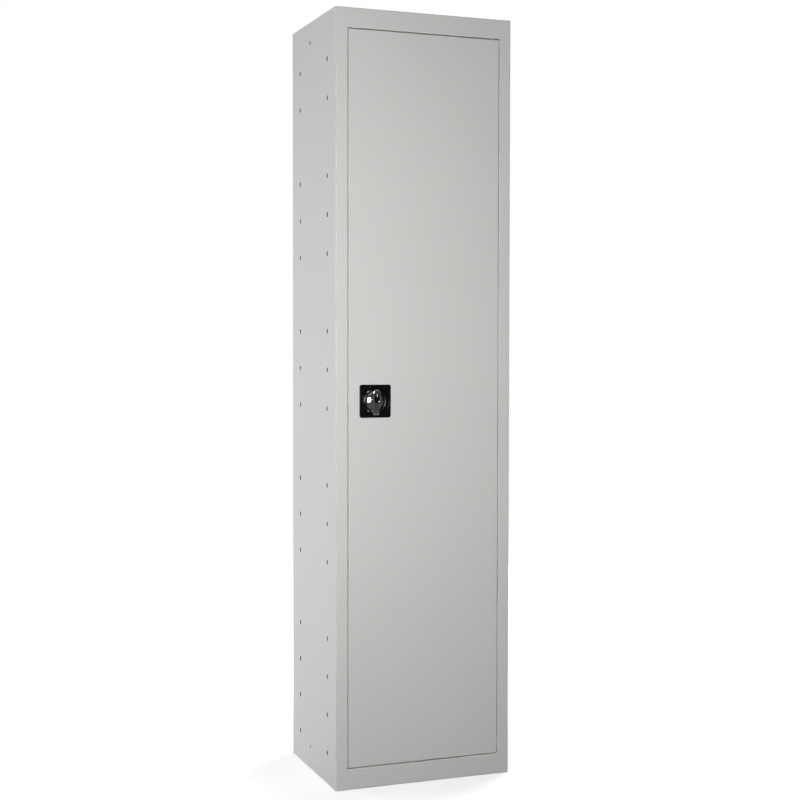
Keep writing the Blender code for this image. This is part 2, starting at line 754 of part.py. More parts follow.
def grip_outline():
    """A bar with a round head, which narrows to a blunt lower end."""
    head = GRIP_TOP_WIDTH / 2
    foot = GRIP_BOTTOM_WIDTH / 2
    steps = 2 * CORNER_STEPS
    turns = [pi * i / steps for i in range(steps + 1)]
    points = [(head * cos(a), GRIP_TOP - head + head * sin(a)) for a in turns]
    for side, first in ((-1, pi), (1, 3 * pi / 2)):
        for i in range(EDGE_STEPS + 1):
            a = first + pi / 2 * i / EDGE_STEPS
            x = side * (foot - GRIP_CORNER) + GRIP_CORNER * cos(a)
            points.append((x, GRIP_CORNER - GRIP_BOTTOM + GRIP_CORNER * sin(a)))
    return [(LOCK[0] + x, LOCK[1] + z) for x, z in points]


def add_lock_handle():
    """A chromed casting: a domed round boss in the dish, with a grip bar across it."""
    mesh = prism(grip_outline(), "Y", PLATE_FACE - GRIP_TOP_PROUD, PLATE_FACE + GRIP_SINK)
    front = min(mesh.faces, key=lambda face: face.calc_center_median().y)
    for corner in front.verts:
        corner.co.y = grip_face(corner.co.z - LOCK_HEIGHT)
    bmesh.ops.bevel(
        mesh, geom=list(front.edges), offset=GRIP_EDGE, segments=EDGE_STEPS, profile=0.5, affect="EDGES"
    )
    handle = add_object("lock_handle", mesh, "chrome")
    boss = [(BOSS_RADIUS, HANDLE_REAR)]
    for step in range(CURVE_STEPS):
        turn = pi / 2 * step / CURVE_STEPS
        boss.append((BOSS_RADIUS * cos(turn), HANDLE_REAR - BOSS_HEIGHT - BOSS_CROWN * sin(turn)))
    combine(handle, "UNION", turned(boss, "Y", LOCK, ROUND_SIDES))
    face = grip_face(CYLINDER[1] - LOCK_HEIGHT)
    hole = circle(CYLINDER_RADIUS + FIT, SPINDLE_SIDES, CYLINDER)
    start = PLATE_FACE - GRIP_TOP_PROUD - CUT_MARGIN
    combine(handle, "DIFFERENCE", prism(hole, "Y", start, face + CYLINDER_DEPTH + FIT))
    return handle


def add_key_cylinder():
    face = grip_face(CYLINDER[1] - LOCK_HEIGHT)
    front = face - CYLINDER_PROUD
    profile = [
        (CYLINDER_RADIUS - CYLINDER_EDGE, front),
        (CYLINDER_RADIUS, front + CYLINDER_EDGE),
        (CYLINDER_RADIUS, face + CYLINDER_DEPTH),
    ]
    barrel = add_object(
        "key_cylinder", turned(profile, "Y", CYLINDER, SPINDLE_SIDES), "chrome", smooth=True
    )
    keyway = prism(
        centred(CYLINDER, KEYWAY_WIDTH, KEYWAY_HEIGHT), "Y", front - CUT_MARGIN, front + KEYWAY_DEPTH
    )
    combine(barrel, "DIFFERENCE", keyway)
    return barrel


def add_spindle():
    profile = [(SPINDLE_RADIUS, DISH_FLOOR), (SPINDLE_RADIUS, CAM_REAR)]
    mesh = turned(profile, "Y", LOCK, SPINDLE_SIDES)
    return add_object("lock_spindle", mesh, "zinc", smooth=True)


def crank_place(up):
    """Where a crank pin stands while the rods are drawn in: up is 1 for the upper rod's pin."""
    return LOCK[0] - up * CRANK_OFFSET, LOCK[1] - up * CRANK_OFFSET


def add_cam():
    """A disc with a tongue that hangs down, and turns left behind the stile."""
    half = TONGUE_WIDTH / 2
    length = LOCK[0] + OPENING_HALF + TONGUE_BITE
    first = -acos(half / CAM_RADIUS)
    sweep = pi + 2 * acos(half / CAM_RADIUS)
    points = [(-half, -length), (half, -length)]
    for i in range(ROUND_SIDES // 2 + 1):
        a = first + sweep * i / (ROUND_SIDES // 2)
        points.append((CAM_RADIUS * cos(a), CAM_RADIUS * sin(a)))
    outline = [(LOCK[0] + x, LOCK[1] + z) for x, z in points]
    cam = add_object("lock_cam", prism(outline, "Y", CAM_FACE, CAM_REAR), "zinc")
    span = (CAM_FACE - CUT_MARGIN, CAM_REAR + CUT_MARGIN)
    holes = prism(circle(SPINDLE_BORE, SPINDLE_SIDES, LOCK), "Y", *span)
    for up in (1, -1):
        prism(circle(CRANK_PIN_RADIUS + FIT, SMALL_SIDES, crank_place(up)), "Y", *span, into=holes)
    combine(cam, "DIFFERENCE", holes)
    return cam


def add_crank_pin(name, up):
    profile = [
        (CRANK_PIN_RADIUS, CAM_FACE),
        (CRANK_PIN_RADIUS, CRANK_HEAD_FACE),
        (CRANK_HEAD_RADIUS, CRANK_HEAD_FACE),
        (CRANK_HEAD_RADIUS, CRANK_HEAD_FACE + CRANK_HEAD_HEIGHT),
    ]
    mesh = turned(profile, "Y", crank_place(up), SMALL_SIDES)
    return add_object(f"{name}_crank_pin", mesh, "zinc", smooth=True)


def add_rod(name, up, tip):
    """A flat rod: a cross slot at its lock end takes the crank pin, its tip passes behind a rail."""
    x = LOCK[0] - up * ROD_OFFSET
    pin = crank_place(up)[1]
    reach = CRANK_PIN_RADIUS + YOKE_CLEARANCE
    end = pin - up * (reach + ROD_END_WALL)
    low, high = sorted((end, tip - up * ROD_TIP_INSET))
    rod = add_object(
        f"{name}_lock_rod",
        block((x - ROD_WIDTH / 2, ROD_FACE, low), (x + ROD_WIDTH / 2, ROD_REAR, high)),
        "zinc",
    )
    slot = centred((x, pin), CRANK_RADIUS - CRANK_OFFSET + 2 * reach, 2 * reach)
    combine(
        rod, "DIFFERENCE", prism(slot, "Y", ROD_FACE - CUT_MARGIN, ROD_REAR + CUT_MARGIN)
    )
    return rod


def add_rod_guide(name, up, tip):
    """A bridge on the door's lip that holds the rod back."""
    x = LOCK[0] - up * ROD_OFFSET
    half = ROD_WIDTH / 2 + GUIDE_CLEARANCE
    foot = DOOR_REAR + FIT
    bridge = ROD_REAR + GUIDE_CLEARANCE
    path = [
        (x - half - GUIDE_FOOT, foot),
        (x - half, foot),
        (x - half, bridge),
        (x + half, bridge),
        (x + half, foot),
        (x + half + GUIDE_FOOT, foot),
    ]
    start = tip - up * GUIDE_INSET
    mesh = prism(folded(path, 1, GUIDE_SHEET), "Z", start, start - up * GUIDE_HEIGHT)
    return add_object(f"{name}_rod_guide", mesh, "zinc")


# Assembly

clear_scene()
MATERIALS = {name: make_finish(name) for name in FINISHES}

for panel_side in SIDES:
    add_side_panel(panel_side)
add_stop_strip()
add_back_panel()
add_top_panel()
add_floor_panel()
add_top_rail()
add_bottom_rail()
for screw_end in SCREW_HEIGHTS:
    for screw_side in SIDES:
        add_screw(screw_end, screw_side)
add_bumpers()

clip_meshes = {clip_side: clip_data(clip_side) for clip_side in SIDES}
for shelf_level, shelf_slot in enumerate(SHELF_SLOTS, start=1):
    add_shelf(shelf_level, shelf_slot, clip_meshes)

add_hinge_washer()
door_pivot = add_pivot("door_pivot", (*PIVOT, DOOR_BOTTOM))
hang(
    door_pivot,
    add_door_panel(),
    add_stiffener(),
    add_hinge("lower", BOTTOM_RAIL_HEIGHT, DOOR_BOTTOM, 1),
    add_hinge("upper", HEAD_HEIGHT, DOOR_TOP, -1),
    add_lock_base(),
    add_ring_nut(),
    add_spindle_bush(),
    add_rod_guide("upper", 1, DOOR_TOP),
    add_rod_guide("lower", -1, DOOR_BOTTOM),
)

handle_pivot = add_pivot("handle_pivot", (LOCK[0], FRONT, LOCK[1]), door_pivot)
hang(
    handle_pivot,
    add_lock_handle(),
    add_spindle(),
    add_cam(),
    add_crank_pin("upper", 1),
    add_crank_pin("lower", -1),
)
key_pivot = add_pivot("key_pivot", (CYLINDER[0], FRONT, CYLINDER[1]), handle_pivot)
hang(key_pivot, add_key_cylinder())

for rod_name, rod_up, rod_tip in (("upper", 1, DOOR_TOP), ("lower", -1, DOOR_BOTTOM)):
    rod_slide = add_pivot(f"{rod_name}_rod_slide", (LOCK[0], ROD_FACE, rod_tip), door_pivot)
    hang(rod_slide, add_rod(rod_name, rod_up, rod_tip))
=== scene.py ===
"""The looks of a tall single-door steel cupboard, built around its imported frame.

Metres, +Z up. The origin is on the floor in the middle of the carcass, and the door faces -Y.
"""

from math import acos, cos, pi, radians, sin, sqrt, tan

import bmesh
import bpy
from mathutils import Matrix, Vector


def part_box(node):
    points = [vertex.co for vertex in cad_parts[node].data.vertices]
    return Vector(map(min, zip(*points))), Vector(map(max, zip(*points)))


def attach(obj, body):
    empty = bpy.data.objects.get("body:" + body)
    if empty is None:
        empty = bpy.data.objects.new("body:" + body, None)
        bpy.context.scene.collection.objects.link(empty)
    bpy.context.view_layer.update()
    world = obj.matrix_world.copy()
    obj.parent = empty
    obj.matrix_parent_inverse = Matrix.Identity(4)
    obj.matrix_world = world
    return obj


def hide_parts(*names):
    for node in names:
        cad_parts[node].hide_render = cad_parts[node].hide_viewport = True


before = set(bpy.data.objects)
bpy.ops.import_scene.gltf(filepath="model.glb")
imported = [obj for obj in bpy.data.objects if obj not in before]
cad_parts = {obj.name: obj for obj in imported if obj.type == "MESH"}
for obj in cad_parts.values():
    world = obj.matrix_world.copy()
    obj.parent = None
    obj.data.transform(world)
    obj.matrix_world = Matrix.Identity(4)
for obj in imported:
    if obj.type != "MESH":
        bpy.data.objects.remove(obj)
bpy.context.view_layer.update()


# Side panels. Each is one sheet of 0.7 mm steel, punched with two columns of slots for the shelf
# clips and folded into a front stile with its return, a rear flange and a foot with relief cuts.
# The rear flange is spot welded to the back, and the whole carcass is powder coated light grey.

WALL_SHEET = 0.0007
CORNER_FOLD = 0.0030
STILE_FOLD = 0.0010
STILE_RETURN = 0.0188
RETURN_TOP_GAP = 0.001
REAR_FLANGE = 0.020
FOOT_WIDTH = 0.020
FOOT_FROM_FRONT = 0.0273
FOOT_FROM_BACK = 0.0077
RELIEF_WIDTH = 0.003
RELIEF_HEIGHT = 0.005
SLOT_WIDTH = 0.0082
SLOT_HEIGHT = 0.0106
SLOT_CORNER = 0.0010
SLOT_MARGIN = 0.008
SLOT_ROWS = 19
SLOTS_ABOVE_FIRST_SHELF = 2
SLOTS_PER_SHELF = 4
CLIP_BELOW_SLOT = 0.008
SCREW_HOLE = 0.0018
WELD_ROWS = 13
WELD_PITCH = 0.140
WELD_RADIUS = 0.0028
WELD_DENT = 0.00015
WELD_RISE = 1.4
RIM = 0.00012
RIM_ANGLE = radians(50)
RIM_STEPS = 2
FOLD_STEPS = 5
FOLD_ANGLE = radians(30)
HOLE_SIDES = 24
CUT_MARGIN = 0.002
SIDES = {"left": -1, "right": 1}
CLOUD_SHARE = 0.75


class Link:
    """An output of a node in a tree. Sums and products of values add Math nodes."""

    def __init__(self, tree, socket=None):
        self.tree = tree
        self.socket = socket

    def node(self, kind, inputs=None, output=0, **settings):
        """Adds a node: first its settings, then a value or a link for each of its inputs."""
        made = self.tree.nodes.new(kind)
        for name, value in settings.items():
            setattr(made, name, value)
        for name, value in (inputs or {}).items():
            if isinstance(value, Link):
                self.tree.links.new(value.socket, made.inputs[name])
            else:
                made.inputs[name].default_value = value
        return Link(self.tree, made.outputs[output]) if made.outputs else None

    def math(self, operation, first, second):
        """Adds a Math node."""
        return self.node("ShaderNodeMath", {0: first, 1: second}, operation=operation)

    def __add__(self, other):
        return self.math("ADD", self, other)

    def __sub__(self, other):
        return self.math("SUBTRACT", self, other)

    def __rsub__(self, other):
        return self.math("SUBTRACT", other, self)

    def __mul__(self, other):
        return self.math("MULTIPLY", self, other)

    __radd__ = __add__
    __rmul__ = __mul__


def tint(colour, share):
    """A colour made lighter or darker, with full alpha."""
    return (*(value * share for value in colour), 1)


def bare_tree(owner):
    """The emptied node tree of a material or a world."""
    owner.use_nodes = True
    owner.node_tree.nodes.clear()
    return Link(owner.node_tree)


def make_finish(name, slot, colour, cloud, grain, drift, roughness, spread, relief=0, **constants):
    """A material and its slot. The tone drifts in clouds, and a fine grain roughens and dents it."""
    material = bpy.data.materials.new(name)
    tree = bare_tree(material)
    place = tree.node("ShaderNodeTexCoord", output="Object")
    clouds = tree.node("ShaderNodeTexNoise", {"Vector": place, "Scale": 1 / cloud, "Detail": 3})
    grains = tree.node("ShaderNodeTexNoise", {"Vector": place, "Scale": 1 / grain, "Detail": 2})
    ends = {6: tint(colour, 1 - drift), 7: tint(colour, 1 + drift)}
    share = CLOUD_SHARE * clouds + (1 - CLOUD_SHARE) * grains
    tone = tree.node("ShaderNodeMix", {0: share, **ends}, 2, data_type="RGBA")
    sockets = {"Base Color": tone, "Roughness": roughness + spread * grains, **constants}
    if relief:
        sockets["Normal"] = tree.node("ShaderNodeBump", {"Distance": relief, "Height": grains})
    shader = tree.node("ShaderNodeBsdfPrincipled", sockets)
    tree.node("ShaderNodeOutputMaterial", {"Surface": shader})
    return material, slot


def new_tree(name, inputs):
    """A Geometry Nodes tree, and a link from each of its named inputs."""
    tree = bpy.data.node_groups.new(name, "GeometryNodeTree")
    for label, kind in {"Geometry": "Geometry", **inputs}.items():
        tree.interface.new_socket(label, in_out="INPUT", socket_type=f"NodeSocket{kind}")
    tree.interface.new_socket("Geometry", in_out="OUTPUT", socket_type="NodeSocketGeometry")
    entry = tree.nodes.new("NodeGroupInput")
    return tree, {socket.name: Link(tree, socket) for socket in entry.outputs if socket.name}


def end_tree(geometry, material):
    """Ends a tree with real geometry in one material."""
    real = geometry.node("GeometryNodeRealizeInstances", {"Geometry": geometry})
    coated = real.node("GeometryNodeSetMaterial", {"Geometry": real, "Material": material})
    coated.node("NodeGroupOutput", {0: coated})


def run_tree(thing, tree, values):
    """Adds a tree to an object and sets its named inputs."""
    change = thing.modifiers.new(tree.name, "NODES")
    change.node_group = tree
    for item in tree.interface.items_tree:
        if item.name in values:
            change[item.identifier] = values[item.name]


def settle(thing):
    """Turns an object and its modifiers into a plain mesh."""
    graph = bpy.context.evaluated_depsgraph_get()
    finished = bpy.data.meshes.new_from_object(thing.evaluated_get(graph))
    thing.modifiers.clear()
    thing.data = finished


def new_object(name, data):
    """An object in the scene."""
    thing = bpy.data.objects.new(name, data)
    bpy.context.scene.collection.objects.link(thing)
    return thing


def add_piece(name, mesh):
    """An object of a built mesh, smooth all over."""
    for face in mesh.faces:
        face.smooth = True
    data = bpy.data.meshes.new(name)
    mesh.to_mesh(data)
    mesh.free()
    return new_object(name, data)


def drop(thing):
    """Removes a tool that has done its work."""
    bpy.data.objects.remove(thing, do_unlink=True)


def rounded(path, radius, steps=3, closed=False):
    """The path with its corners turned into arcs."""
    points = [Vector(p) for p in path]
    result = []
    for i, corner in enumerate(points):
        if not closed and i in (0, len(points) - 1):
            result.append(corner)
            continue
        back = (points[i - 1] - corner).normalized()
        ahead = (points[(i + 1) % len(points)] - corner).normalized()
        half = back.angle(ahead) / 2
        centre = corner + (back + ahead).normalized() * (radius / sin(half))
        start = (corner + back * (radius / tan(half)) - centre).normalized()
        end = (corner + ahead * (radius / tan(half)) - centre).normalized()
        result += [centre + start.slerp(end, step / steps) * radius for step in range(steps + 1)]
    return [tuple(p) for p in result]


def spaced(first, span, steps):
    """Even steps over a span, with both its ends."""
    return [first + span * step / steps for step in range(steps + 1)]


def centred(centre, width, height):
    """A rectangle about a point."""
    a, b = centre
    right, up = width / 2, height / 2
    return [(a - right, b - up), (a + right, b - up), (a + right, b + up), (a - right, b + up)]


def circle(radius, centre=(0, 0), sides=48):
    """A ring of points about a centre."""
    turns = [2 * pi * i / sides for i in range(sides)]
    return [(centre[0] + radius * cos(turn), centre[1] + radius * sin(turn)) for turn in turns]


def place(along, a, b, depth):
    """A point from its two outline coordinates and its distance along the third axis."""
    return {"X": (depth, a, b), "Y": (a, depth, b), "Z": (a, b, depth)}[along]


def loft(rings, hollow=False, into=None):
    """A closed skin over rings of points: capped at its two ends, or led back into itself."""
    mesh = into or bmesh.new()
    loops = [[mesh.verts.new(point) for point in ring] for ring in rings]
    pairs = list(zip(loops, loops[1:]))
    if hollow:
        pairs.append((loops[-1], loops[0]))
    else:
        mesh.faces.new(loops[0])
        mesh.faces.new(loops[-1])
    for low, high in pairs:
        for i in range(len(low)):
            mesh.faces.new((low[i - 1], low[i], high[i], high[i - 1]))
    bmesh.ops.recalc_face_normals(mesh, faces=mesh.faces)
    return mesh


def prism(outline, along, start, end, into=None):
    """An outline pushed along one axis."""
    rings = [[place(along, a, b, depth) for a, b in outline] for depth in (start, end)]
    return loft(rings, into=into)


def drill(radius, centre, along, depth, sides=HOLE_SIDES, into=None):
    """A round cutter through a sheet that lies at one depth."""
    return prism(circle(radius, centre, sides), along, depth - CUT_MARGIN, depth + CUT_MARGIN, into)


def turned(profile, along, centre, hollow=False, sides=48, into=None):
    """A turned shape: the profile lists a radius and its distance along the axis."""
    rings = []
    for radius, depth in profile:
        rings.append([place(along, a, b, depth) for a, b in circle(radius, centre, sides)])
    return loft(rings, hollow, into)


def strip(path, along, start, end):
    """The faces of a folded strip: each run of the path pushed along one axis."""
    faces = []
    for (a, b), (c, d) in zip(path, path[1:]):
        near = [place(along, a, b, start), place(along, c, d, start)]
        faces.append([*near, place(along, c, d, end), place(along, a, b, end)])
    return faces


def bend(mesh, fold, wanted):
    """Rounds the sharp folds that are wanted to one radius."""
    shared = [edge for edge in mesh.edges if len(edge.link_faces) == 2]
    folds = [edge for edge in shared if edge.calc_face_angle() > FOLD_ANGLE and wanted(edge)]
    bmesh.ops.bevel(
        mesh, geom=folds, offset=fold, segments=FOLD_STEPS, profile=0.5, affect="EDGES"
    )


def folded_sheet(name, faces, facing, fold, sheet=WALL_SHEET, own=None, scores=()):
    """A sheet bent where its faces meet; the first face looks towards facing, with metal behind.

    Own is a radius for the folds that lie in one plane, and scores are planes that divide the sheet,
    so that the holes cut later stay in small faces. A plane is an axis and a distance.
    """
    mesh = bmesh.new()
    for corners in faces:
        mesh.faces.new([mesh.verts.new(corner) for corner in corners])
    near = sheet / 100
    bmesh.ops.remove_doubles(mesh, verts=mesh.verts, dist=near)
    bmesh.ops.recalc_face_normals(mesh, faces=mesh.faces)
    mesh.faces.ensure_lookup_table()
    if mesh.faces[0].normal.dot(Vector(facing)) < 0:
        bmesh.ops.reverse_faces(mesh, faces=mesh.faces)
    if own:
        radius, axis, distance = own

        def in_plane(edge):
            return all(abs(vert.co[axis] - distance) < near for vert in edge.verts)

        bend(mesh, radius, in_plane)
    bend(mesh, fold, lambda edge: True)
    for axis, distance in scores:
        plane = Vector([float(i == axis) for i in range(3)])
        everything = [*mesh.verts, *mesh.edges, *mesh.faces]
        bmesh.ops.bisect_plane(mesh, geom=everything, plane_co=plane * distance, plane_no=plane)
    thing = add_piece(name, mesh)
    metal = thing.modifiers.new("metal", "SOLIDIFY")
    metal.thickness = sheet
    metal.offset = -1
    metal.use_even_offset = True
    settle(thing)
    return thing


def cut(thing, mesh, operation="DIFFERENCE"):
    """Cuts a shape out of an object, or joins it on."""
    tool = add_piece(f"{thing.name}_tool", mesh)
    change = thing.modifiers.new("cut", "BOOLEAN")
    change.operation = operation
    change.solver = "EXACT"
    change.object = tool
    settle(thing)
    drop(tool)


def soften(thing, rim, coat):
    """Rounds the cut edges a little, keeps flats flat in the shading, and gives the finish."""
    edges = thing.modifiers.new("rims", "BEVEL")
    edges.width = rim
    edges.segments = RIM_STEPS
    edges.limit_method = "ANGLE"
    edges.angle_limit = RIM_ANGLE
    edges.use_clamp_overlap = False
    thing.modifiers.new("clean", "WELD").merge_threshold = rim / 50
    thing.modifiers.new("flats", "WEIGHTED_NORMAL")
    settle(thing)
    thing.data.materials.clear()
    thing.data.materials.append(coat[0])


def fit(piece, body, slot, *nodes):
    """Hangs a finished piece on a body, in the place of its CAD nodes."""
    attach(piece, body)
    if nodes:
        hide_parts(*nodes)


def finish(piece, coat, body, *nodes, rim=RIM):
    """Softens and coats a piece, and hangs it on a body."""
    soften(piece, rim, coat)
    fit(piece, body, coat[1], *nodes)


def centre_of(node, plane):
    """The middle of a CAD node's box in a plane such as xz."""
    low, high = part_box(node)
    return tuple((getattr(low, axis) + getattr(high, axis)) / 2 for axis in plane)


grey_coat = make_finish(
    "grey_powder_coat",
    "grey_paint",
    (0.545, 0.545, 0.522),
    cloud=0.30,
    grain=0.0017,
    drift=0.03,
    roughness=0.42,
    spread=0.12,
    relief=0.00003,
)

wall_low, wall_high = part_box("left_side_panel")
edge, stile = wall_low.x, wall_high.x
front, back = wall_low.y, wall_high.y
top = wall_high.z
screw_places = [centre_of(f"{end}_left_screw", "yz") for end in ("top", "floor")]

clip_low, clip_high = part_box("clip_1_front_left")
next_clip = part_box("clip_2_front_left")[0]
rear_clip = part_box("clip_1_rear_left")[0]
clip_front = (clip_low.y + clip_high.y) / 2
column_gap = rear_clip.y - clip_low.y
slot_pitch = (clip_low.z - next_clip.z) / SLOTS_PER_SHELF
first_clip = clip_low.z + CLIP_BELOW_SLOT
slot_middle = first_clip + (SLOTS_ABOVE_FIRST_SHELF - (SLOT_ROWS - 1) / 2) * slot_pitch

PUNCH_INPUTS = {
    "Punch": "Object",
    "Columns": "Int",
    "Column Gap": "Float",
    "Rows": "Int",
    "Pitch": "Float",
    "Middle": "Vector",
    "Finish": "Material",
}
punching, given = new_tree("punched_columns", PUNCH_INPUTS)
grid = given["Geometry"].node(
    "GeometryNodeMeshGrid",
    {
        "Size X": given["Column Gap"],
        "Size Y": given["Pitch"] * (given["Rows"] - 1),
        "Vertices X": given["Columns"],
        "Vertices Y": given["Rows"],
    },
)
upright = grid.node(
    "GeometryNodeTransform",
    {"Geometry": grid, "Translation": given["Middle"], "Rotation": (pi / 2, 0, pi / 2)},
)
punch_shape = grid.node("GeometryNodeObjectInfo", {"Object": given["Punch"]}, "Geometry")
punches = grid.node("GeometryNodeInstanceOnPoints", {"Points": upright, "Instance": punch_shape})
punches = punches.node("GeometryNodeRealizeInstances", {"Geometry": punches})
punched = punches.node(
    "GeometryNodeMeshBoolean",
    {"Mesh 1": given["Geometry"], "Mesh 2": punches},
    operation="DIFFERENCE",
    solver="EXACT",
)
end_tree(punched, given["Finish"])

slot_outline = rounded(centred((0, 0), SLOT_WIDTH, SLOT_HEIGHT), SLOT_CORNER, steps=4, closed=True)
slot_punch = add_piece("slot_punch", prism(slot_outline, "X", -CUT_MARGIN, CUT_MARGIN))
weld_profile = []
for share in spaced(0, 1, steps=6)[1:]:
    weld_profile.append((WELD_RADIUS * share, WELD_DENT * (WELD_RISE * share * share - 1)))
weld_profile.append((WELD_RADIUS, CUT_MARGIN))
weld_punch = add_piece("weld_punch", turned(weld_profile, "Y", (0, 0), sides=HOLE_SIDES))


def punch(wall, *values):
    """Punches columns of holes or dents; the values are the tree's inputs up to its finish."""
    run_tree(wall, punching, dict(zip(PUNCH_INPUTS, (*values, grey_coat[0]))))
    settle(wall)


def wall_faces(sign):
    """Wall, foot, stile, return and rear flange of a side panel; sign is -1 on the left."""
    out, inner = -sign * edge, -sign * stile
    foot_front, foot_back = front + FOOT_FROM_FRONT, back - FOOT_FROM_BACK
    reliefs = ((foot_back + RELIEF_WIDTH, foot_back), (foot_front, foot_front - RELIEF_WIDTH))
    outline = [(front, 0), (front, top), (back, top), (back, 0)]
    for rear, near in reliefs:
        outline += [(rear, 0), (rear, RELIEF_HEIGHT), (near, RELIEF_HEIGHT), (near, 0)]
    faces = [[(out, y, z) for y, z in outline]]
    faces += strip([(out, 0), (out - sign * FOOT_WIDTH, 0)], "Y", foot_front, foot_back)
    faces += strip([(out, front), (inner, front), (inner, front + STILE_RETURN)], "Z", 0, top)
    faces += strip([(out, back), (out - sign * REAR_FLANGE, back)], "Z", 0, top)
    return faces


wall_scores = []
for row in range(SLOT_ROWS + 1):
    wall_scores.append((2, slot_middle + (row - SLOT_ROWS / 2) * slot_pitch))
for column in (clip_front, clip_front + column_gap):
    wall_scores += [(1, column - SLOT_MARGIN), (1, column + SLOT_MARGIN)]

for side, sign in SIDES.items():
    wall_x, stile_x = -sign * edge, -sign * stile
    wall = folded_sheet(
        f"{side}_wall_sheet",
        wall_faces(sign),
        (sign, 0, 0),
        CORNER_FOLD,
        own=(STILE_FOLD, 0, stile_x),
        scores=wall_scores,
    )
    holes = bmesh.new()
    for screw_place in screw_places:
        drill(SCREW_HOLE, screw_place, "X", wall_x, into=holes)
    notch = centred((stile_x, front + STILE_RETURN), 6 * STILE_FOLD, 2 * (STILE_RETURN - STILE_FOLD))
    prism(notch, "Z", top - RETURN_TOP_GAP, top + CUT_MARGIN, holes)
    cut(wall, holes)
    slot_field = (wall_x, clip_front + column_gap / 2, slot_middle)
    punch(wall, slot_punch, 2, column_gap, SLOT_ROWS, slot_pitch, slot_field)
    weld_line = (wall_x - sign * REAR_FLANGE / 2, back, top / 2)
    punch(wall, weld_punch, 1, 0.0, WELD_ROWS, WELD_PITCH, weld_line)
    finish(wall, grey_coat, "carcass", f"{side}_side_panel")
drop(slot_punch)
drop(weld_punch)


# Back panel. A flat sheet of the same steel, powder coated like the walls. It lies inside their two
# rear flanges and is spot welded to them.

low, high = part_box("back_panel")
faces = strip([(low.x, high.y), (high.x, high.y)], "Z", low.z, high.z)
back_sheet = folded_sheet("back_sheet", faces, (0, 1, 0), CORNER_FOLD)
finish(back_sheet, grey_coat, "carcass", "back_panel")


# Top and floor. Flat sheets whose two sides are folded against the walls, the top's downwards and
# the floor's upwards, so that one screw through each flange holds them.

PANEL_FOLD = 0.0015

for name, screw_place, skin_up in (("top", screw_places[0], 1), ("floor", screw_places[1], -1)):
    low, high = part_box(f"{name}_panel")
    skin, tip = (high.z, low.z) if skin_up > 0 else (low.z, high.z)
    path = [(low.x, tip), (low.x, skin), (high.x, skin), (high.x, tip)]
    faces = strip(path, "Y", low.y, high.y)
    panel = folded_sheet(f"{name}_sheet", faces, (-1, 0, 0), PANEL_FOLD)
    cut(panel, prism(circle(SCREW_HOLE, screw_place, HOLE_SIDES), "X", 2 * low.x, 2 * high.x))
    if name == "top":
        corners = bmesh.new()
        for x in (low.x, high.x):
            clear = circle(CORNER_FOLD, (x, low.y), sides=4)
            prism(clear, "Z", low.z - CUT_MARGIN, high.z + CUT_MARGIN, corners)
        cut(panel, corners)
    finish(panel, grey_coat, "carcass", f"{name}_panel")


# Head rail and plinth. Folded rails that close the front above and below the door. They are butted
# and welded between the stiles, and each takes a hinge pin through its flange.

RAIL_FOLD = 0.0016
RAIL_OUTER_FOLD = 0.0030
HEAD_TOP_FLANGE = 0.015
HEAD_LIP = 0.010
PLINTH_FOOT = 0.020
PLINTH_STEP = 0.024
PIN_HOLE = 0.0025
FIT_GAP = 0.0003

head_low, head_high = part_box("top_rail")
plinth_low, plinth_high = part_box("bottom_rail")
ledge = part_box("floor_panel")[0].z - FIT_GAP
pivot = centre_of("lower_hinge_pin", "xy")
rail_paths = {
    "head": [
        (front + HEAD_TOP_FLANGE, head_high.z),
        (front, head_high.z),
        (front, head_low.z),
        (head_high.y, head_low.z),
        (head_high.y, head_low.z + HEAD_LIP),
    ],
    "plinth": [
        (front + PLINTH_FOOT, 0),
        (front, 0),
        (front, plinth_high.z),
        (front + PLINTH_STEP, plinth_high.z),
        (front + PLINTH_STEP, ledge),
        (plinth_high.y, ledge),
    ],
}
for name, node, facing, outer_z, pin_z in (
    ("head", "top_rail", 1, head_high.z, head_low.z),
    ("plinth", "bottom_rail", -1, 0, plinth_high.z),
):
    rail = folded_sheet(
        f"{name}_rail",
        strip(rail_paths[name], "X", head_low.x, head_high.x),
        (0, 0, facing),
        RAIL_FOLD,
        own=(RAIL_OUTER_FOLD, 2, outer_z),
    )
    cut(rail, drill(PIN_HOLE, pivot, "Z", pin_z))
    finish(rail, grey_coat, "carcass", node)

quarter_turn = spaced(0, pi / 2, steps=6)
welds = bmesh.new()
for sign in SIDES.values():
    stile_x, rail_x = -sign * stile, sign * head_high.x
    groove = [(rail_x, front + STILE_FOLD), (rail_x, front)]
    for turn in quarter_turn:
        x = stile_x + sign * STILE_FOLD * (1 - sin(turn))
        groove.append((x, front + STILE_FOLD * (1 - cos(turn))))
    prism(groove, "Z", head_low.z + RAIL_FOLD, head_high.z, welds)
    prism(groove, "Z", plinth_low.z, plinth_high.z - RAIL_FOLD, welds)
rail_welds = add_piece("ground_rail_welds", welds)
finish(rail_welds, grey_coat, "carcass", rim=RIM / 4)


# Stop strip. An angle of the wall's sheet, powder coated with the carcass and welded behind the return
# of the left stile. The door closes against it, and it carries the buffers.

STOP_FOLD = 0.0015

low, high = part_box("door_stop_strip")
left, rear = low.x + WALL_SHEET, high.y - WALL_SHEET
faces = strip([(left, low.y), (left, rear), (high.x, rear)], "Z", low.z, high.z)
stop_strip = folded_sheet("stop_angle", faces, (1, 0, 0), STOP_FOLD)
finish(stop_strip, grey_coat, "carcass", "door_stop_strip")


# Screws and nuts. Zinc-plated pan heads with a cross recess, driven from outside through each wall
# into a hexagon nut behind the folded flange of the top or the floor.

RECESS_LENGTH = 0.0040
RECESS_WIDTH = 0.0009
RECESS_DEPTH = 0.0008
HEAD_DOME = 0.7
SCREW_RIM = 0.0001
NUT_CHAMFER = 0.0004


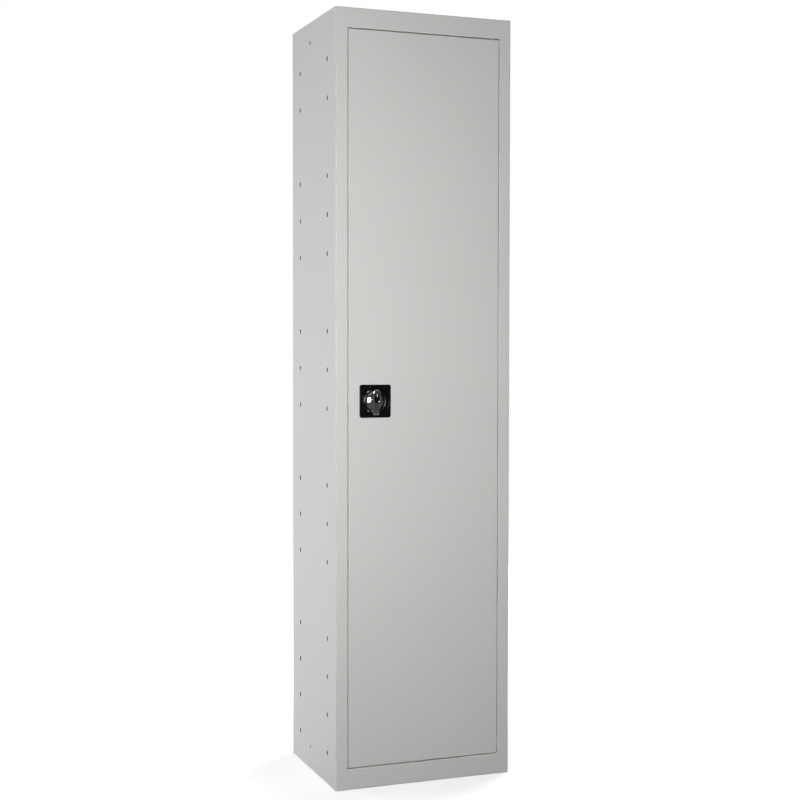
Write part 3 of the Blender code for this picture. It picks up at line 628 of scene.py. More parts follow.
def zinc_finish(name, colour, roughness):
    """Zinc plating, faintly mottled."""
    return make_finish(
        name,
        "zinc",
        colour,
        cloud=0.012,
        grain=0.0006,
        drift=0.16,
        roughness=roughness,
        spread=0.22,
        relief=0.000004,
        Metallic=1.0,
    )


zinc_plate = zinc_finish("zinc_plate", (0.60, 0.61, 0.63), 0.24)
dull_zinc = zinc_finish("dull_zinc", (0.34, 0.34, 0.35), 0.32)

setting_out, given = new_tree("set_out", {"Piece": "Object", "Finish": "Material"})
turns = given["Geometry"].node(
    "GeometryNodeInputNamedAttribute", {"Name": "turn"}, data_type="FLOAT_VECTOR"
)
model = turns.node("GeometryNodeObjectInfo", {"Object": given["Piece"]}, "Geometry")
copies = turns.node(
    "GeometryNodeInstanceOnPoints",
    {"Points": given["Geometry"], "Instance": model, "Rotation": turns},
)
end_tree(copies, given["Finish"])


def set_out(name, model, places, coat, *nodes):
    """Copies of a model as one mesh on the carcass; a place is a point and an upright turn."""
    data = bpy.data.meshes.new(name)
    data.from_pydata([point for point, turn in places], [], [])
    marks = data.attributes.new("turn", "FLOAT_VECTOR", "POINT")
    for mark, (point, turn) in zip(marks.data, places):
        mark.vector = (0, 0, turn)
    thing = new_object(name, data)
    run_tree(thing, setting_out, {"Piece": model, "Finish": coat[0]})
    settle(thing)
    drop(model)
    fit(thing, "carcass", coat[1], *nodes)


nut_low, nut_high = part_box("top_left_nut")
screw_low, screw_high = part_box("top_left_screw")
head_radius = (screw_high.z - screw_low.z) / 2
shank = SCREW_HOLE - FIT_GAP
seat_x = edge - FIT_GAP
head_height = seat_x - screw_low.x
screw_tip = screw_high.x - seat_x
screw_profile = []
for turn in spaced(0, pi / 2, steps=8)[1:]:
    fall = HEAD_DOME * head_height * (1 - cos(turn))
    screw_profile.append((head_radius * sin(turn), fall - head_height))
screw_profile += [(head_radius, 0), (shank, 0), (shank, screw_tip - shank / 2), (shank / 2, screw_tip)]
screw_model = add_piece("screw_model", turned(screw_profile, "X", (0, 0), sides=40))
for width, height in ((RECESS_LENGTH, RECESS_WIDTH), (RECESS_WIDTH, RECESS_LENGTH)):
    recess = centred((0, 0), width, height)
    cut(screw_model, prism(recess, "X", -head_height - CUT_MARGIN, RECESS_DEPTH - head_height))
soften(screw_model, SCREW_RIM, dull_zinc)

nut_radius = max(nut_high.y - nut_low.y, nut_high.z - nut_low.z) / 2
nut_turns = [pi * (2 * i + 1) / 6 for i in range(6)]
nut_outline = [(nut_radius * cos(turn), nut_radius * sin(turn)) for turn in nut_turns]
nut_start, nut_end = nut_low.x - seat_x, nut_high.x - seat_x
nut_model = add_piece("nut_model", prism(nut_outline, "X", nut_start, nut_end))
nut_bore = circle(SCREW_HOLE, sides=HOLE_SIDES)
cut(nut_model, prism(nut_bore, "X", -CUT_MARGIN, nut_end + CUT_MARGIN))
soften(nut_model, NUT_CHAMFER, zinc_plate)

fixings = []
for y, z in screw_places:
    fixings.append(((seat_x, y, z), 0))
    fixings.append(((-seat_x, y, z), pi))
corners = [f"{end}_{side}" for end in ("top", "floor") for side in SIDES]
set_out("panel_screws", screw_model, fixings, dull_zinc, *(f"{corner}_screw" for corner in corners))
set_out("panel_nuts", nut_model, fixings, zinc_plate, *(f"{corner}_nut" for corner in corners))


# Shelf clips. Zinc-plated brackets bent from 1.5 mm strip: a plate against the wall with a stub that
# fills a slot, and a ledge with rounded corners that carries the shelf.

CLIP_SHEET = 0.0015
CLIP_FOLD = 0.0022
CLIP_CORNER = 0.004
CLIP_RIM = 0.0002
STUB_REACH = 0.001
SHELVES = 4

clip_size = clip_high - clip_low
clip_back = clip_low.x + STUB_REACH
clip_out = clip_high.x - clip_back
clip_top = clip_size.z - CLIP_BELOW_SLOT
half_width = clip_size.y / 2
ledge_path = [(0, -half_width), (clip_out, -half_width), (clip_out, half_width), (0, half_width)]
clip_faces = strip([(0, -CLIP_BELOW_SLOT), (0, clip_top)], "Y", -half_width, half_width)
clip_faces.append([(x, y, clip_top) for x, y in rounded(ledge_path, CLIP_CORNER, steps=6)])
clip_model = folded_sheet("clip_model", clip_faces, (-1, 0, 0), CLIP_FOLD, CLIP_SHEET)
stub = centred((0, 0), SLOT_WIDTH - 2 * FIT_GAP, SLOT_HEIGHT - 2 * FIT_GAP)
cut(clip_model, prism(stub, "X", clip_low.x - clip_back, CLIP_SHEET / 2), "UNION")
soften(clip_model, CLIP_RIM, zinc_plate)

levels = range(1, SHELVES + 1)
clip_ends = {"front": clip_front, "rear": clip_front + column_gap}
clip_nodes = []
clip_places = []
for level in levels:
    slot_z = first_clip - (level - 1) * SLOTS_PER_SHELF * slot_pitch
    for end, y in clip_ends.items():
        for side, sign in SIDES.items():
            clip_nodes.append(f"clip_{level}_{end}_{side}")
            clip_places.append(((-sign * clip_back, y, slot_z), 0 if sign < 0 else pi))
set_out("shelf_clips", clip_model, clip_places, zinc_plate, *clip_nodes)


# Shelves. Shallow trays of 0.8 mm steel turned upside down, with lips folded in along the lower
# edge, powder coated like the carcass. They lie loose on the clips and lift off.

SHELF_SHEET = 0.0008
SHELF_FOLD = 0.0015
SHELF_LIP = 0.012


def tray(low, high, lip, axis, sign):
    """The faces of a sheet tray: its skin looks to sign along the axis, and lips turn in behind."""
    skin, mouth = (high[axis], low[axis]) if sign > 0 else (low[axis], high[axis])
    a, b = (i for i in range(3) if i != axis)

    def ring(depth, inset):
        points = []
        for p, q in ((low, low), (high, low), (high, high), (low, high)):
            point = [0, 0, 0]
            point[axis] = depth
            point[a] = p[a] + (inset if p is low else -inset)
            point[b] = q[b] + (inset if q is low else -inset)
            points.append(tuple(point))
        return points

    rings = [ring(skin, 0), ring(mouth, 0), ring(mouth, lip)]
    faces = [rings[0]]
    for near, far in zip(rings, rings[1:]):
        faces += [[near[i - 1], near[i], far[i], far[i - 1]] for i in range(4)]
    return faces


for level in levels:
    low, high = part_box(f"shelf_{level}")
    faces = tray(low, high, SHELF_LIP, axis=2, sign=1)
    shelf = folded_sheet(f"shelf_tray_{level}", faces, (0, 0, 1), SHELF_FOLD, SHELF_SHEET)
    finish(shelf, grey_coat, f"shelf_{level}", f"shelf_{level}")


# Hinge pins, washer and bushes. Two headed steel pins pass through the rails into nylon bushes in
# the door's top and bottom edges, and a washer under the lower bush carries the door.

PIN_RADIUS = 0.0022
PIN_HEAD_RADIUS = 0.0045
PIN_HEAD_HEIGHT = 0.002
BUSH_BORE = 0.0025
BUSH_RADIUS = 0.0037
BUSH_COLLAR_RADIUS = 0.005
BUSH_COLLAR = 0.0008
SMALL_FILLET = 0.0003
WASHER_RIM = 0.0001
PIN_SIDES = 32

nylon = make_finish(
    "natural_nylon",
    "nylon",
    (0.70, 0.69, 0.65),
    cloud=0.010,
    grain=0.0008,
    drift=0.06,
    roughness=0.42,
    spread=0.16,
    relief=0.000006,
)


def ring_profile(inner, outer, start, end):
    """The section of a plain ring."""
    return [(inner, start), (outer, start), (outer, end), (inner, end)]


def headed_profile(head, shank, start, step, end, bore=None):
    """The section of a headed pin, or of a collared bush if there is a bore."""
    return [
        (bore or head / 4, start),
        (head, start),
        (head, step),
        (shank, step),
        (shank, end),
        (bore or shank / 4, end),
    ]


pins = bmesh.new()
bushes = bmesh.new()
for name, head, shank, height, bore, mesh in (
    ("pin", PIN_HEAD_RADIUS, PIN_RADIUS, PIN_HEAD_HEIGHT, None, pins),
    ("bush", BUSH_COLLAR_RADIUS, BUSH_RADIUS, BUSH_COLLAR, BUSH_BORE, bushes),
):
    for end, up in (("lower", 1), ("upper", -1)):
        low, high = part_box(f"{end}_hinge_{name}")
        start, tip = (low.z, high.z) if up > 0 else (high.z, low.z)
        shape = headed_profile(head, shank, start, start + up * height, tip, bore)
        shape = rounded(shape, SMALL_FILLET, closed=bool(bore))
        turned(shape, "Z", pivot, bool(bore), PIN_SIDES, mesh)
hinge_pins = add_piece("hinge_pins", pins)
finish(hinge_pins, zinc_plate, "carcass", "lower_hinge_pin", "upper_hinge_pin")

low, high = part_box("hinge_washer")
shape = ring_profile(BUSH_BORE, BUSH_COLLAR_RADIUS, low.z, high.z)
shape = rounded(shape, WASHER_RIM, steps=2, closed=True)
washer = add_piece("door_washer", turned(shape, "Z", pivot, hollow=True, sides=PIN_SIDES))
finish(washer, zinc_plate, "carcass", "hinge_washer")


# Door. A tray of 0.9 mm steel with its lips turned in at the back and a hat channel bonded up the
# middle inside. It is powder coated like the carcass and cut for the lock and the two bushes.

DOOR_SHEET = 0.0009
DOOR_FOLD = 0.0012
DOOR_LIP = 0.012
LOCK_HOLE = 0.0358
LOCK_SIDES = 96
BUSH_HOLE = 0.0040
CHANNEL_FOOT = 0.015
CHANNEL_FOLD = 0.0025

low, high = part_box("door_panel")
faces = tray(low, high, DOOR_LIP, axis=1, sign=-1)
door = folded_sheet("door_pan", faces, (0, -1, 0), DOOR_FOLD, DOOR_SHEET)
lock_low, lock_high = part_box("lock_base")
lock = centre_of("lock_base", "xz")
openings = drill(LOCK_HOLE, lock, "Y", front, LOCK_SIDES)
for z in (low.z, high.z):
    drill(BUSH_HOLE, pivot, "Z", z, PIN_SIDES, openings)
cut(door, openings)
finish(door, grey_coat, "door", "door_panel")


def hat_path(low, high, foot, sheet):
    """The section of a hat channel that fills a box: two feet in front and a crown at the back."""
    left, right = low.x + foot, high.x - foot
    near, far = low.y, high.y - sheet
    return [(low.x, near), (left, near), (left, far), (right, far), (right, near), (high.x, near)]


low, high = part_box("door_stiffener")
faces = strip(hat_path(low, high, CHANNEL_FOOT, WALL_SHEET), "Z", low.z, high.z)
channel = folded_sheet("door_channel", faces, (0, -1, 0), CHANNEL_FOLD)
finish(channel, grey_coat, "door", "door_stiffener")

hinge_bushes = add_piece("hinge_bushes", bushes)
finish(hinge_bushes, nylon, "door", "lower_hinge_bush", "upper_hinge_bush")


# Buffers. Two soft black rubber buttons, a little narrower in front, stuck on the stop strip so that
# the door shuts quietly.

BUFFER_TAPER = 0.9
BUFFER_ROUND = 0.0005

rubber = make_finish(
    "black_rubber",
    "rubber",
    (0.03, 0.03, 0.03),
    cloud=0.006,
    grain=0.0004,
    drift=0.25,
    roughness=0.70,
    spread=0.20,
    relief=0.00001,
)

low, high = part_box("lower_door_bumper")
upper_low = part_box("upper_door_bumper")[0]
radius, middle = (high.x - low.x) / 2, (low + high) / 2
height = high.y - low.y
shape = [(radius / 6, 0), (radius * BUFFER_TAPER, 0), (radius, height), (radius / 6, height)]
shape = rounded(shape, BUFFER_ROUND, steps=4)
buffer_model = add_piece("buffer_model", turned(shape, "Y", (0, 0), sides=PIN_SIDES))
heights = (middle.z, middle.z + upper_low.z - low.z)
buffer_places = [((middle.x, low.y, z), 0) for z in heights]
buffer_nodes = ("lower_door_bumper", "upper_door_bumper")
set_out("door_buffers", buffer_model, buffer_places, rubber, *buffer_nodes)


# Lock dish. A glossy black moulding: a square plate on the door's face with a round dish sunk through
# the door, so that the handle stays almost flush. A notched ring nut clamps it from behind.

PLATE_THICKNESS = 0.003
PLATE_CORNER = 0.0055
PLATE_EDGE = 0.0012
DISH_RADIUS = 0.034
DISH_FLOOR_RADIUS = 0.028
DISH_DEPTH = 0.011
DISH_RIM = 0.0008
DISH_BODY_RADIUS = 0.0355
DISH_BORE = 0.0078
CORNER_SPREAD = 5
NUT_EDGE = 0.0004
NUT_STEPS = 192
NUT_NOTCHES = 8
NOTCH_SHARE = 0.2
NOTCH_DEPTH = 0.0016

black_plastic = make_finish(
    "black_plastic",
    "black_plastic",
    (0.0035, 0.0035, 0.004),
    cloud=0.03,
    grain=0.0009,
    drift=0.15,
    roughness=0.16,
    spread=0.10,
    relief=0.000003,
    **{"Specular IOR Level": 0.22},
)


def plate_reach(turn, half, corner):
    """How far a square with round corners reaches from its centre in one direction."""
    long, short = sorted((abs(cos(turn)), abs(sin(turn))), reverse=True)
    reach = half / long
    if reach * short <= half - corner:
        return reach
    middle = half - corner
    along = (long + short) * middle
    return along + sqrt(along * along - 2 * middle * middle + corner * corner)


plate_face = lock_low.y
plate_rear = plate_face + PLATE_THICKNESS
dish_floor = plate_face + DISH_DEPTH
plate_half = (lock_high.x - lock_low.x) / 2
plate_turns = spaced(0, 2 * pi, LOCK_SIDES)[:-1]
for corner in range(4):
    for step in range(-CORNER_SPREAD, CORNER_SPREAD + 1):
        plate_turns.append(pi / 4 + corner * pi / 2 + radians(step))
plate_turns = sorted({round(turn, 5) for turn in plate_turns})


def plate_ring(inset, depth):
    """The plate's outline at one depth, drawn in by an inset."""
    ring = []
    for turn in plate_turns:
        reach = plate_reach(turn, plate_half - inset, PLATE_CORNER - inset)
        ring.append((lock[0] + reach * cos(turn), depth, lock[1] + reach * sin(turn)))
    return ring


def dish_ring(radius, depth):
    """A circle about the lock's axis, with a point for each of the plate's."""
    x, z = lock
    return [(x + radius * cos(turn), depth, z + radius * sin(turn)) for turn in plate_turns]


dish_rings = [dish_ring(DISH_BODY_RADIUS, plate_rear), plate_ring(0, plate_rear)]
for turn in quarter_turn:
    depth = plate_face + PLATE_EDGE * (1 - sin(turn))
    dish_rings.append(plate_ring(PLATE_EDGE * (1 - cos(turn)), depth))
for turn in quarter_turn:
    depth = plate_face + DISH_RIM * (1 - cos(turn))
    dish_rings.append(dish_ring(DISH_RADIUS + DISH_RIM * (1 - sin(turn)), depth))
for turn in spaced(0, pi / 2, steps=12)[1:]:
    depth = plate_face + DISH_RIM + (DISH_DEPTH - DISH_RIM) * sin(turn)
    radius = DISH_FLOOR_RADIUS + (DISH_RADIUS - DISH_FLOOR_RADIUS) * cos(turn)
    dish_rings.append(dish_ring(radius, depth))
dish_rings += [
    dish_ring(DISH_BORE, dish_floor),
    dish_ring(DISH_BORE, lock_high.y),
    dish_ring(DISH_BODY_RADIUS - SMALL_FILLET, lock_high.y),
    dish_ring(DISH_BODY_RADIUS, lock_high.y - SMALL_FILLET),
]
lock_dish = add_piece("lock_dish", loft(dish_rings, hollow=True))
finish(lock_dish, black_plastic, "door", "lock_base")

low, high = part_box("lock_ring_nut")
nut_outer = (high.x - low.x) / 2
shape = ring_profile(LOCK_HOLE, nut_outer, low.y, high.y)
nut_rings = []
for radius, depth in rounded(shape, NUT_EDGE, steps=2, closed=True):
    ring = []
    for step in range(NUT_STEPS):
        turn = 2 * pi * step / NUT_STEPS
        notched = step * NUT_NOTCHES % NUT_STEPS < NOTCH_SHARE * NUT_STEPS
        reach = min(radius, nut_outer - NOTCH_DEPTH) if notched else radius
        ring.append((lock[0] + reach * cos(turn), depth, lock[1] + reach * sin(turn)))
    nut_rings.append(ring)
ring_nut = add_piece("dish_nut", loft(nut_rings, hollow=True))
finish(ring_nut, zinc_plate, "door", "lock_ring_nut")


# Spindle and its sleeve. A plain spindle, fixed in the handle, turns in a collared sleeve that sits in
# the bore of the dish. Both are zinc-plated steel.

SPINDLE_RADIUS = 0.005
SLEEVE_BORE = 0.0053
SLEEVE_RADIUS = 0.0075
SLEEVE_COLLAR_RADIUS = 0.011
SLEEVE_COLLAR = 0.0015

low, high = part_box("spindle_bush")
collar = lock_high.y + FIT_GAP
shape = [
    (SLEEVE_BORE, low.y),
    (SLEEVE_RADIUS, low.y),
    (SLEEVE_RADIUS, collar),
    (SLEEVE_COLLAR_RADIUS, collar),
    (SLEEVE_COLLAR_RADIUS, collar + SLEEVE_COLLAR),
    (SLEEVE_RADIUS, collar + SLEEVE_COLLAR),
    (SLEEVE_RADIUS, high.y),
    (SLEEVE_BORE, high.y),
]
shape = rounded(shape, SMALL_FILLET, closed=True)
sleeve = add_piece("spindle_sleeve", turned(shape, "Y", lock, hollow=True))
finish(sleeve, zinc_plate, "door", "spindle_bush")

low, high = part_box("lock_spindle")
shape = ring_profile(SPINDLE_RADIUS / 4, SPINDLE_RADIUS, low.y, high.y)
spindle = add_piece("turning_spindle", turned(rounded(shape, SMALL_FILLET), "Y", lock))
finish(spindle, zinc_plate, "handle", "lock_spindle")


# Handle. A chromed casting: a domed round boss that sits in the dish, and across it a grip bar with a
# round head. A black insert in the head surrounds the key cylinder.

GRIP_TOP_WIDTH = 0.0195
GRIP_BOTTOM_WIDTH = 0.016
GRIP_CORNER = 0.004
GRIP_ROUND = 0.0026
GRIP_CROWN = 0.0005
GRIP_SINK = 0.003
GRIP_BOTTOM_PROUD = 0.008
BOSS_RADIUS = 0.024
BOSS_WALL = 0.0035
BOSS_HEIGHT = 0.012
POCKET_RADIUS = 0.0061
POCKET_DEPTH = 0.0022
POCKET_DROP = 0.0115
POCKET_FLARE = 0.0005
INSERT_GAP = 0.0001
INSERT_RECESS = 0.0006
KEY_HOLE = 0.0057


def bright_finish(name, colour, cloud, grain, drift):
    """Polished plating."""
    return make_finish(
        name, "chrome", colour, cloud, grain, drift, roughness=0.05, spread=0.05, Metallic=1.0
    )


chrome = bright_finish("bright_chrome", (0.78, 0.78, 0.80), cloud=0.02, grain=0.002, drift=0.02)

grip_low, grip_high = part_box("lock_handle")
grip_up, grip_down = grip_high.z - lock[1], grip_low.z - lock[1]
slope = (plate_face - GRIP_BOTTOM_PROUD - grip_low.y) / (grip_up - grip_down)


def grip_face(w):
    """How far forward the grip's sloping face is at a height above the lock's centre."""
    return plate_face - GRIP_BOTTOM_PROUD - slope * (w - grip_down)


def grip_outline(inset=0):
    """A bar with a round head that narrows to a blunt lower end, drawn in by an even inset."""
    head, foot = GRIP_TOP_WIDTH / 2, GRIP_BOTTOM_WIDTH / 2
    points = []
    for turn in spaced(0, pi, steps=24):
        points.append(((head - inset) * cos(turn), grip_up - head + (head - inset) * sin(turn)))
    for side, first in ((-1, pi), (1, 3 * pi / 2)):
        for turn in spaced(first, pi / 2, steps=8):
            x = side * (foot - GRIP_CORNER) + (GRIP_CORNER - inset) * cos(turn)
            points.append((x, grip_down + GRIP_CORNER + (GRIP_CORNER - inset) * sin(turn)))
    return points


def grip_ring(outline, lift):
    """An outline laid on the grip's sloping face, or behind it by a lift."""
    return [(lock[0] + u, grip_face(w) + lift, lock[1] + w) for u, w in outline]


grip_rings = [[(lock[0] + u, plate_face + GRIP_SINK, lock[1] + w) for u, w in grip_outline()]]
for turn in quarter_turn:
    outline = grip_outline(GRIP_ROUND * (1 - cos(turn)))
    grip_rings.append(grip_ring(outline, GRIP_CROWN + GRIP_ROUND * (1 - sin(turn))))
middle = (grip_up + grip_down) / 2
for share in spaced(1, -1, steps=4)[1:-1]:
    outline = []
    for u, w in grip_outline(GRIP_ROUND):
        outline.append((u * share, middle + (w - middle) * (1 + share) / 2))
    grip_rings.append(grip_ring(outline, GRIP_CROWN * share * share))
handle = add_piece("turn_handle", loft(grip_rings))

boss_profile = [(BOSS_RADIUS - SMALL_FILLET, grip_high.y), (BOSS_RADIUS, grip_high.y - SMALL_FILLET)]
for turn in spaced(0, pi / 2, steps=20)[:-1]:
    rise = BOSS_WALL + (BOSS_HEIGHT - BOSS_WALL) * sin(turn)
    boss_profile.append((BOSS_RADIUS * cos(turn), grip_high.y - rise))
cut(handle, turned(boss_profile, "Y", lock, sides=LOCK_SIDES), "UNION")

key_low, key_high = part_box("key_cylinder")
key = centre_of("key_cylinder", "xz")


def pocket_ring(radius, lift):
    """An upright slot shape with round ends about the key, on the grip's face or a lift behind it."""
    turns = spaced(0, pi, steps=16)
    points = [(key[0] + radius * cos(t), key[1] + radius * sin(t)) for t in turns]
    points += [(key[0] - radius * cos(t), key[1] - POCKET_DROP - radius * sin(t)) for t in turns]
    return [(x, grip_face(z - lock[1]) + lift, z) for x, z in points]


pocket_rings = [
    pocket_ring(POCKET_RADIUS + POCKET_FLARE + CUT_MARGIN, -CUT_MARGIN),
    pocket_ring(POCKET_RADIUS, POCKET_FLARE),
    pocket_ring(POCKET_RADIUS, POCKET_DEPTH),
]
cut(handle, loft(pocket_rings))
cut(handle, prism(circle(KEY_HOLE, key), "Y", grip_low.y - CUT_MARGIN, key_high.y + FIT_GAP))
finish(handle, chrome, "handle", "lock_handle")

insert_radius = POCKET_RADIUS - INSERT_GAP
insert_rings = [
    pocket_ring(insert_radius, POCKET_DEPTH - INSERT_GAP),
    pocket_ring(insert_radius, INSERT_RECESS + SMALL_FILLET),
    pocket_ring(insert_radius - SMALL_FILLET, INSERT_RECESS),
]
insert = add_piece("handle_insert", loft(insert_rings))
cut(insert, prism(circle(KEY_HOLE, key), "Y", grip_low.y - CUT_MARGIN, key_high.y))
finish(insert, black_plastic, "handle")


# Key cylinder. A black sleeve pressed into the handle's head, and in it a nickelled plug with a keyway,
# which the key turns.

SLEEVE_WALL = 0.0014
PLUG_GAP = 0.0001
PLUG_EDGE = 0.0004
PLUG_CROWN = 0.0004
KEYWAY_WIDTH = 0.0012
KEYWAY_HEIGHT = 0.0056
KEYWAY_DEPTH = 0.005

dark_nickel = bright_finish("dark_nickel", (0.52, 0.51, 0.50), cloud=0.006, grain=0.0008, drift=0.05)

key_radius = (key_high.x - key_low.x) / 2
plug_radius = key_radius - SLEEVE_WALL - PLUG_GAP
shape = ring_profile(key_radius - SLEEVE_WALL, key_radius, key_low.y + PLUG_EDGE, key_high.y)
shape = rounded(shape, SMALL_FILLET, closed=True)
key_sleeve = add_piece("key_sleeve", turned(shape, "Y", key, hollow=True))
finish(key_sleeve, black_plastic, "handle")

shape = [
    (plug_radius / 2, key_low.y + PLUG_CROWN / 4),
    (plug_radius, key_low.y + PLUG_CROWN),
    (plug_radius, key_high.y),
    (plug_radius / 4, key_high.y),
]
shares = spaced(0, 0.5, steps=5)[1:-1]
crown = [(plug_radius * share, key_low.y + PLUG_CROWN * share**2) for share in shares]
plug = add_piece("key_plug", turned([*crown, *rounded(shape, PLUG_EDGE, steps=4)], "Y", key))
keyway = centred(key, KEYWAY_WIDTH, KEYWAY_HEIGHT)
cut(plug, prism(keyway, "Y", key_low.y - CUT_MARGIN, key_low.y + KEYWAY_DEPTH))
finish(plug, dark_nickel, "key", "key_cylinder")


# Cam and crank pins. A stamped zinc-plated disc on the spindle, whose tongue turns behind the stile,
# with two riveted pins that push the rods.

CAM_RADIUS = 0.019
TONGUE_WIDTH = 0.016
TONGUE_CORNER = 0.003
CRANK_PIN_HOLE = 0.0028
CRANK_PIN_RADIUS = 0.0025
CRANK_HEAD_RADIUS = 0.0042
CRANK_HEAD_HEIGHT = 0.0015
STAMPED_EDGE = 0.0003

cam_low, cam_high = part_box("lock_cam")
tongue = TONGUE_WIDTH / 2
tongue_end = cam_low.z - lock[1]
lean = acos(tongue / CAM_RADIUS)
cam_outline = rounded(
    [(-tongue, -CAM_RADIUS), (-tongue, tongue_end), (tongue, tongue_end), (tongue, -CAM_RADIUS)],
    TONGUE_CORNER,
    steps=5,
)
for turn in spaced(-lean, pi + 2 * lean, steps=48):
    cam_outline.append((CAM_RADIUS * cos(turn), CAM_RADIUS * sin(turn)))
cam_outline = [(lock[0] + u, lock[1] + w) for u, w in cam_outline]
cam = add_piece("latch_cam", prism(cam_outline, "Y", cam_low.y, cam_high.y))
cam_span = (cam_low.y - CUT_MARGIN, cam_high.y + CUT_MARGIN)
cam_holes = prism(circle(SLEEVE_BORE, lock), "Y", *cam_span)
pins = bmesh.new()
for name in ("upper", "lower"):
    low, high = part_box(f"{name}_crank_pin")
    crank = centre_of(f"{name}_crank_pin", "xz")
    prism(circle(CRANK_PIN_HOLE, crank, HOLE_SIDES), "Y", *cam_span, into=cam_holes)
    step = high.y - CRANK_HEAD_HEIGHT
    shape = headed_profile(CRANK_HEAD_RADIUS, CRANK_PIN_RADIUS, high.y, step, low.y)
    turned(rounded(shape, SMALL_FILLET), "Y", crank, sides=PIN_SIDES, into=pins)
cut(cam, cam_holes)
finish(cam, zinc_plate, "handle", "lock_cam", rim=STAMPED_EDGE)
crank_pins = add_piece("crank_pins", pins)
finish(crank_pins, zinc_plate, "handle", "upper_crank_pin", "lower_crank_pin")


# Lock rods and guides. Flat zinc-plated bars driven by the crank pins through a cross slot. They run up
# and down behind the door, under bridges on its lips, and shoot behind the head rail and the plinth.

ROD_TIP = 0.004
YOKE_HEIGHT = 0.0064
YOKE_LENGTH = 0.0105
YOKE_CORNER = 0.0012
GUIDE_SHEET = 0.001
GUIDE_FOLD = 0.0015
GUIDE_FOOT = 0.008

for name in ("upper", "lower"):
    low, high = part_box(f"{name}_lock_rod")
    middle = centre_of(f"{name}_lock_rod", "xz")
    outline = rounded(centred(middle, high.x - low.x, high.z - low.z), ROD_TIP, steps=5, closed=True)
    rod = add_piece(f"{name}_rod_bar", prism(outline, "Y", low.y, high.y))
    crank = centre_of(f"{name}_crank_pin", "xz")
    yoke = centred((middle[0], crank[1]), YOKE_LENGTH, YOKE_HEIGHT)
    yoke = rounded(yoke, YOKE_CORNER, steps=4, closed=True)
    cut(rod, prism(yoke, "Y", low.y - CUT_MARGIN, high.y + CUT_MARGIN))
    finish(rod, zinc_plate, f"{name}_rod", f"{name}_lock_rod", rim=STAMPED_EDGE)
    low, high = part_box(f"{name}_rod_guide")
    faces = strip(hat_path(low, high, GUIDE_FOOT, GUIDE_SHEET), "Z", low.z, high.z)
    guide = folded_sheet(f"{name}_rod_bridge", faces, (0, -1, 0), GUIDE_FOLD, GUIDE_SHEET)
    finish(guide, zinc_plate, "door", f"{name}_rod_guide")


# Studio. A white floor with a faint soft shadow near the base, in a white room. Soft lamps stand behind
# on the left, in front on the left, by the camera, behind on the right and above. What mirrors the room
# sees it dim in front, white behind and grey overhead.

FLOOR_SIZE = 7.0
FLOOR_DROP = 0.0004
FLOOR_GLOW = 0.58
FLOOR_SHARE = 0.5
FLOOR_BOUNCE = 0.12
SHADOW_REACH = 1.0
ROOM_FILL = 0.02
ROOM_FRONT = 0.06
ROOM_FADE = (-0.15, 0.6)
ROOM_CEILING = 0.32
CEILING_FADE = (0.4, 0.9)
FLOOR_FRONT = 0.09
FLOOR_FADE = (-0.5, 0.3)
LAMPS = {
    "left": ((-2.40, 1.20, 0.60), (-0.2, 0.0, 0.85), (1.2, 1.6), 68.0, (0.94, 0.94, 1.0), False),
    "front": ((-0.80, -2.10, 1.15), (-0.1, -0.17, 0.95), (0.8, 0.8), 44.8, (0.98, 0.98, 1.0), True),
    "camera": ((-1.31, -3.50, 1.64), (0.0, -0.17, 0.93), (1.4, 0.8), 15.0, (1.0, 1.0, 1.0), True),
    "rear": ((2.60, 1.70, 1.30), (0.1, 0.1, 0.90), (1.2, 1.6), 120.0, (1.0, 1.0, 1.0), False),
    "top": ((0.0, 0.05, 3.40), (0.0, 0.0, 1.85), (0.3, 0.3), 22.0, (1.0, 1.0, 1.0), False),
}

studio = bpy.data.worlds.new("studio")
bpy.context.scene.world = studio
room = bare_tree(studio)


def ray_kinds(tree):
    """1 for a ray from the camera, and 1 for a mirrored or transmitted one."""
    camera = tree.node("ShaderNodeLightPath", output="Is Camera Ray")
    glossy = tree.node("ShaderNodeLightPath", output="Is Glossy Ray")
    through = tree.node("ShaderNodeLightPath", output="Is Transmission Ray")
    return camera, tree.math("MAXIMUM", glossy, through)


def fade(tree, value, start, end, first, last):
    """A value that goes smoothly from first to last between start and end."""
    return tree.node(
        "ShaderNodeMapRange",
        {"Value": value, "From Min": start, "From Max": end, "To Min": first, "To Max": last},
        interpolation_type="SMOOTHSTEP",
    )


camera_ray, mirror_ray = ray_kinds(room)
direction = room.node("ShaderNodeTexCoord", output="Generated")
depth = room.node("ShaderNodeSeparateXYZ", {"Vector": direction}, "Y")
height = room.node("ShaderNodeSeparateXYZ", {"Vector": direction}, "Z")
behind = fade(room, depth, *ROOM_FADE, ROOM_FRONT, 1.0)
ceiling = fade(room, height, *CEILING_FADE, 0.0, ROOM_CEILING)
mirrored = room.math("MAXIMUM", behind, ceiling)
fill = (1 - camera_ray) * (1 - mirror_ray) * ROOM_FILL
level = camera_ray + mirror_ray * mirrored + fill
backdrop = room.node("ShaderNodeBackground", {"Color": level})
room.node("ShaderNodeOutputWorld", {"Surface": backdrop})

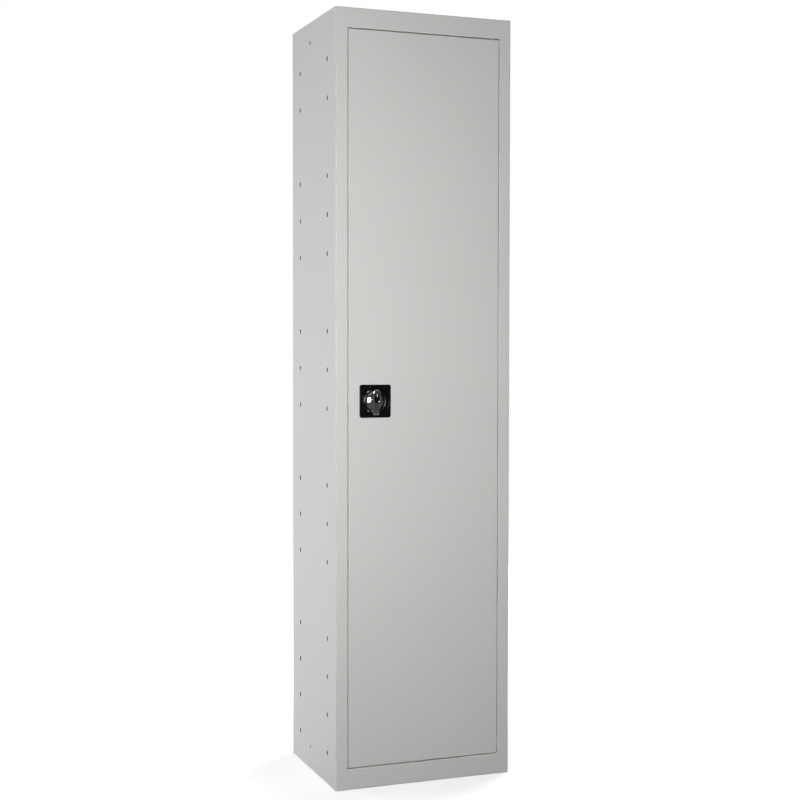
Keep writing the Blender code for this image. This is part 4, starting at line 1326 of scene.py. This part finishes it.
floor_paint = bpy.data.materials.new("pale_floor")
paint = bare_tree(floor_paint)
camera_ray, mirror_ray = ray_kinds(paint)
spot = paint.node("ShaderNodeTexCoord", output="Object")
depth = paint.node("ShaderNodeSeparateXYZ", {"Vector": spot}, "Y")
radius = paint.node("ShaderNodeVectorMath", {0: spot}, "Value", operation="LENGTH")
behind = fade(paint, depth, *FLOOR_FADE, FLOOR_FRONT, 1.0)
shine = fade(paint, radius, SHADOW_REACH / 4, SHADOW_REACH, FLOOR_GLOW, 1.0)
bare = paint.node("ShaderNodeBsdfDiffuse", {"Color": tint((1, 1, 1), FLOOR_BOUNCE)})
shadowed = paint.node("ShaderNodeBsdfDiffuse", {"Color": tint((1, 1, 1), FLOOR_SHARE)})
level = camera_ray * shine + mirror_ray * behind
glow = paint.node("ShaderNodeEmission", {"Color": level})
white = paint.node("ShaderNodeAddShader", {0: glow, 1: shadowed})
unseen = paint.node("ShaderNodeMixShader", {0: mirror_ray, 1: bare, 2: glow})
mixed = paint.node("ShaderNodeMixShader", {0: camera_ray, 1: unseen, 2: white})
paint.node("ShaderNodeOutputMaterial", {"Surface": mixed})

floor_corners = [(x, y, -FLOOR_DROP) for x, y in centred((0, 0), FLOOR_SIZE, FLOOR_SIZE)]
floor_mesh = bpy.data.meshes.new("studio_floor")
floor_mesh.from_pydata(floor_corners, [], [range(4)])
floor_mesh.materials.append(floor_paint)
ground = new_object("studio_floor", floor_mesh)

for name, (spot, target, size, power, colour, mirrored) in LAMPS.items():
    lamp = bpy.data.lights.new(f"{name}_lamp", "AREA")
    lamp.shape = "RECTANGLE"
    lamp.size, lamp.size_y = size
    lamp.energy = power
    lamp.color = colour
    stand = new_object(f"{name}_lamp", lamp)
    stand.location = spot
    stand.rotation_euler = (Vector(target) - Vector(spot)).to_track_quat("-Z", "Y").to_euler()
    stand.visible_glossy = mirrored


# Camera. Left of the front and about at chest height, with a slight downward tilt and a small shift of
# the lens that keeps the uprights upright.

CAMERA_PLACE = (-1.3234, -3.4850, 1.0750)
CAMERA_TURN = (88.085, -0.074, -20.843)
CAMERA_LENS = 66.71
CAMERA_SHIFT = -0.015
SENSOR_WIDTH = 36

lens = bpy.data.cameras.new("camera")
lens.lens = CAMERA_LENS
lens.sensor_width = SENSOR_WIDTH
lens.shift_y = CAMERA_SHIFT
camera = new_object("camera", lens)
camera.location = CAMERA_PLACE
camera.rotation_euler = [radians(turn) for turn in CAMERA_TURN]
bpy.context.scene.camera = camera
bpy.context.scene.view_settings.view_transform = "Standard"
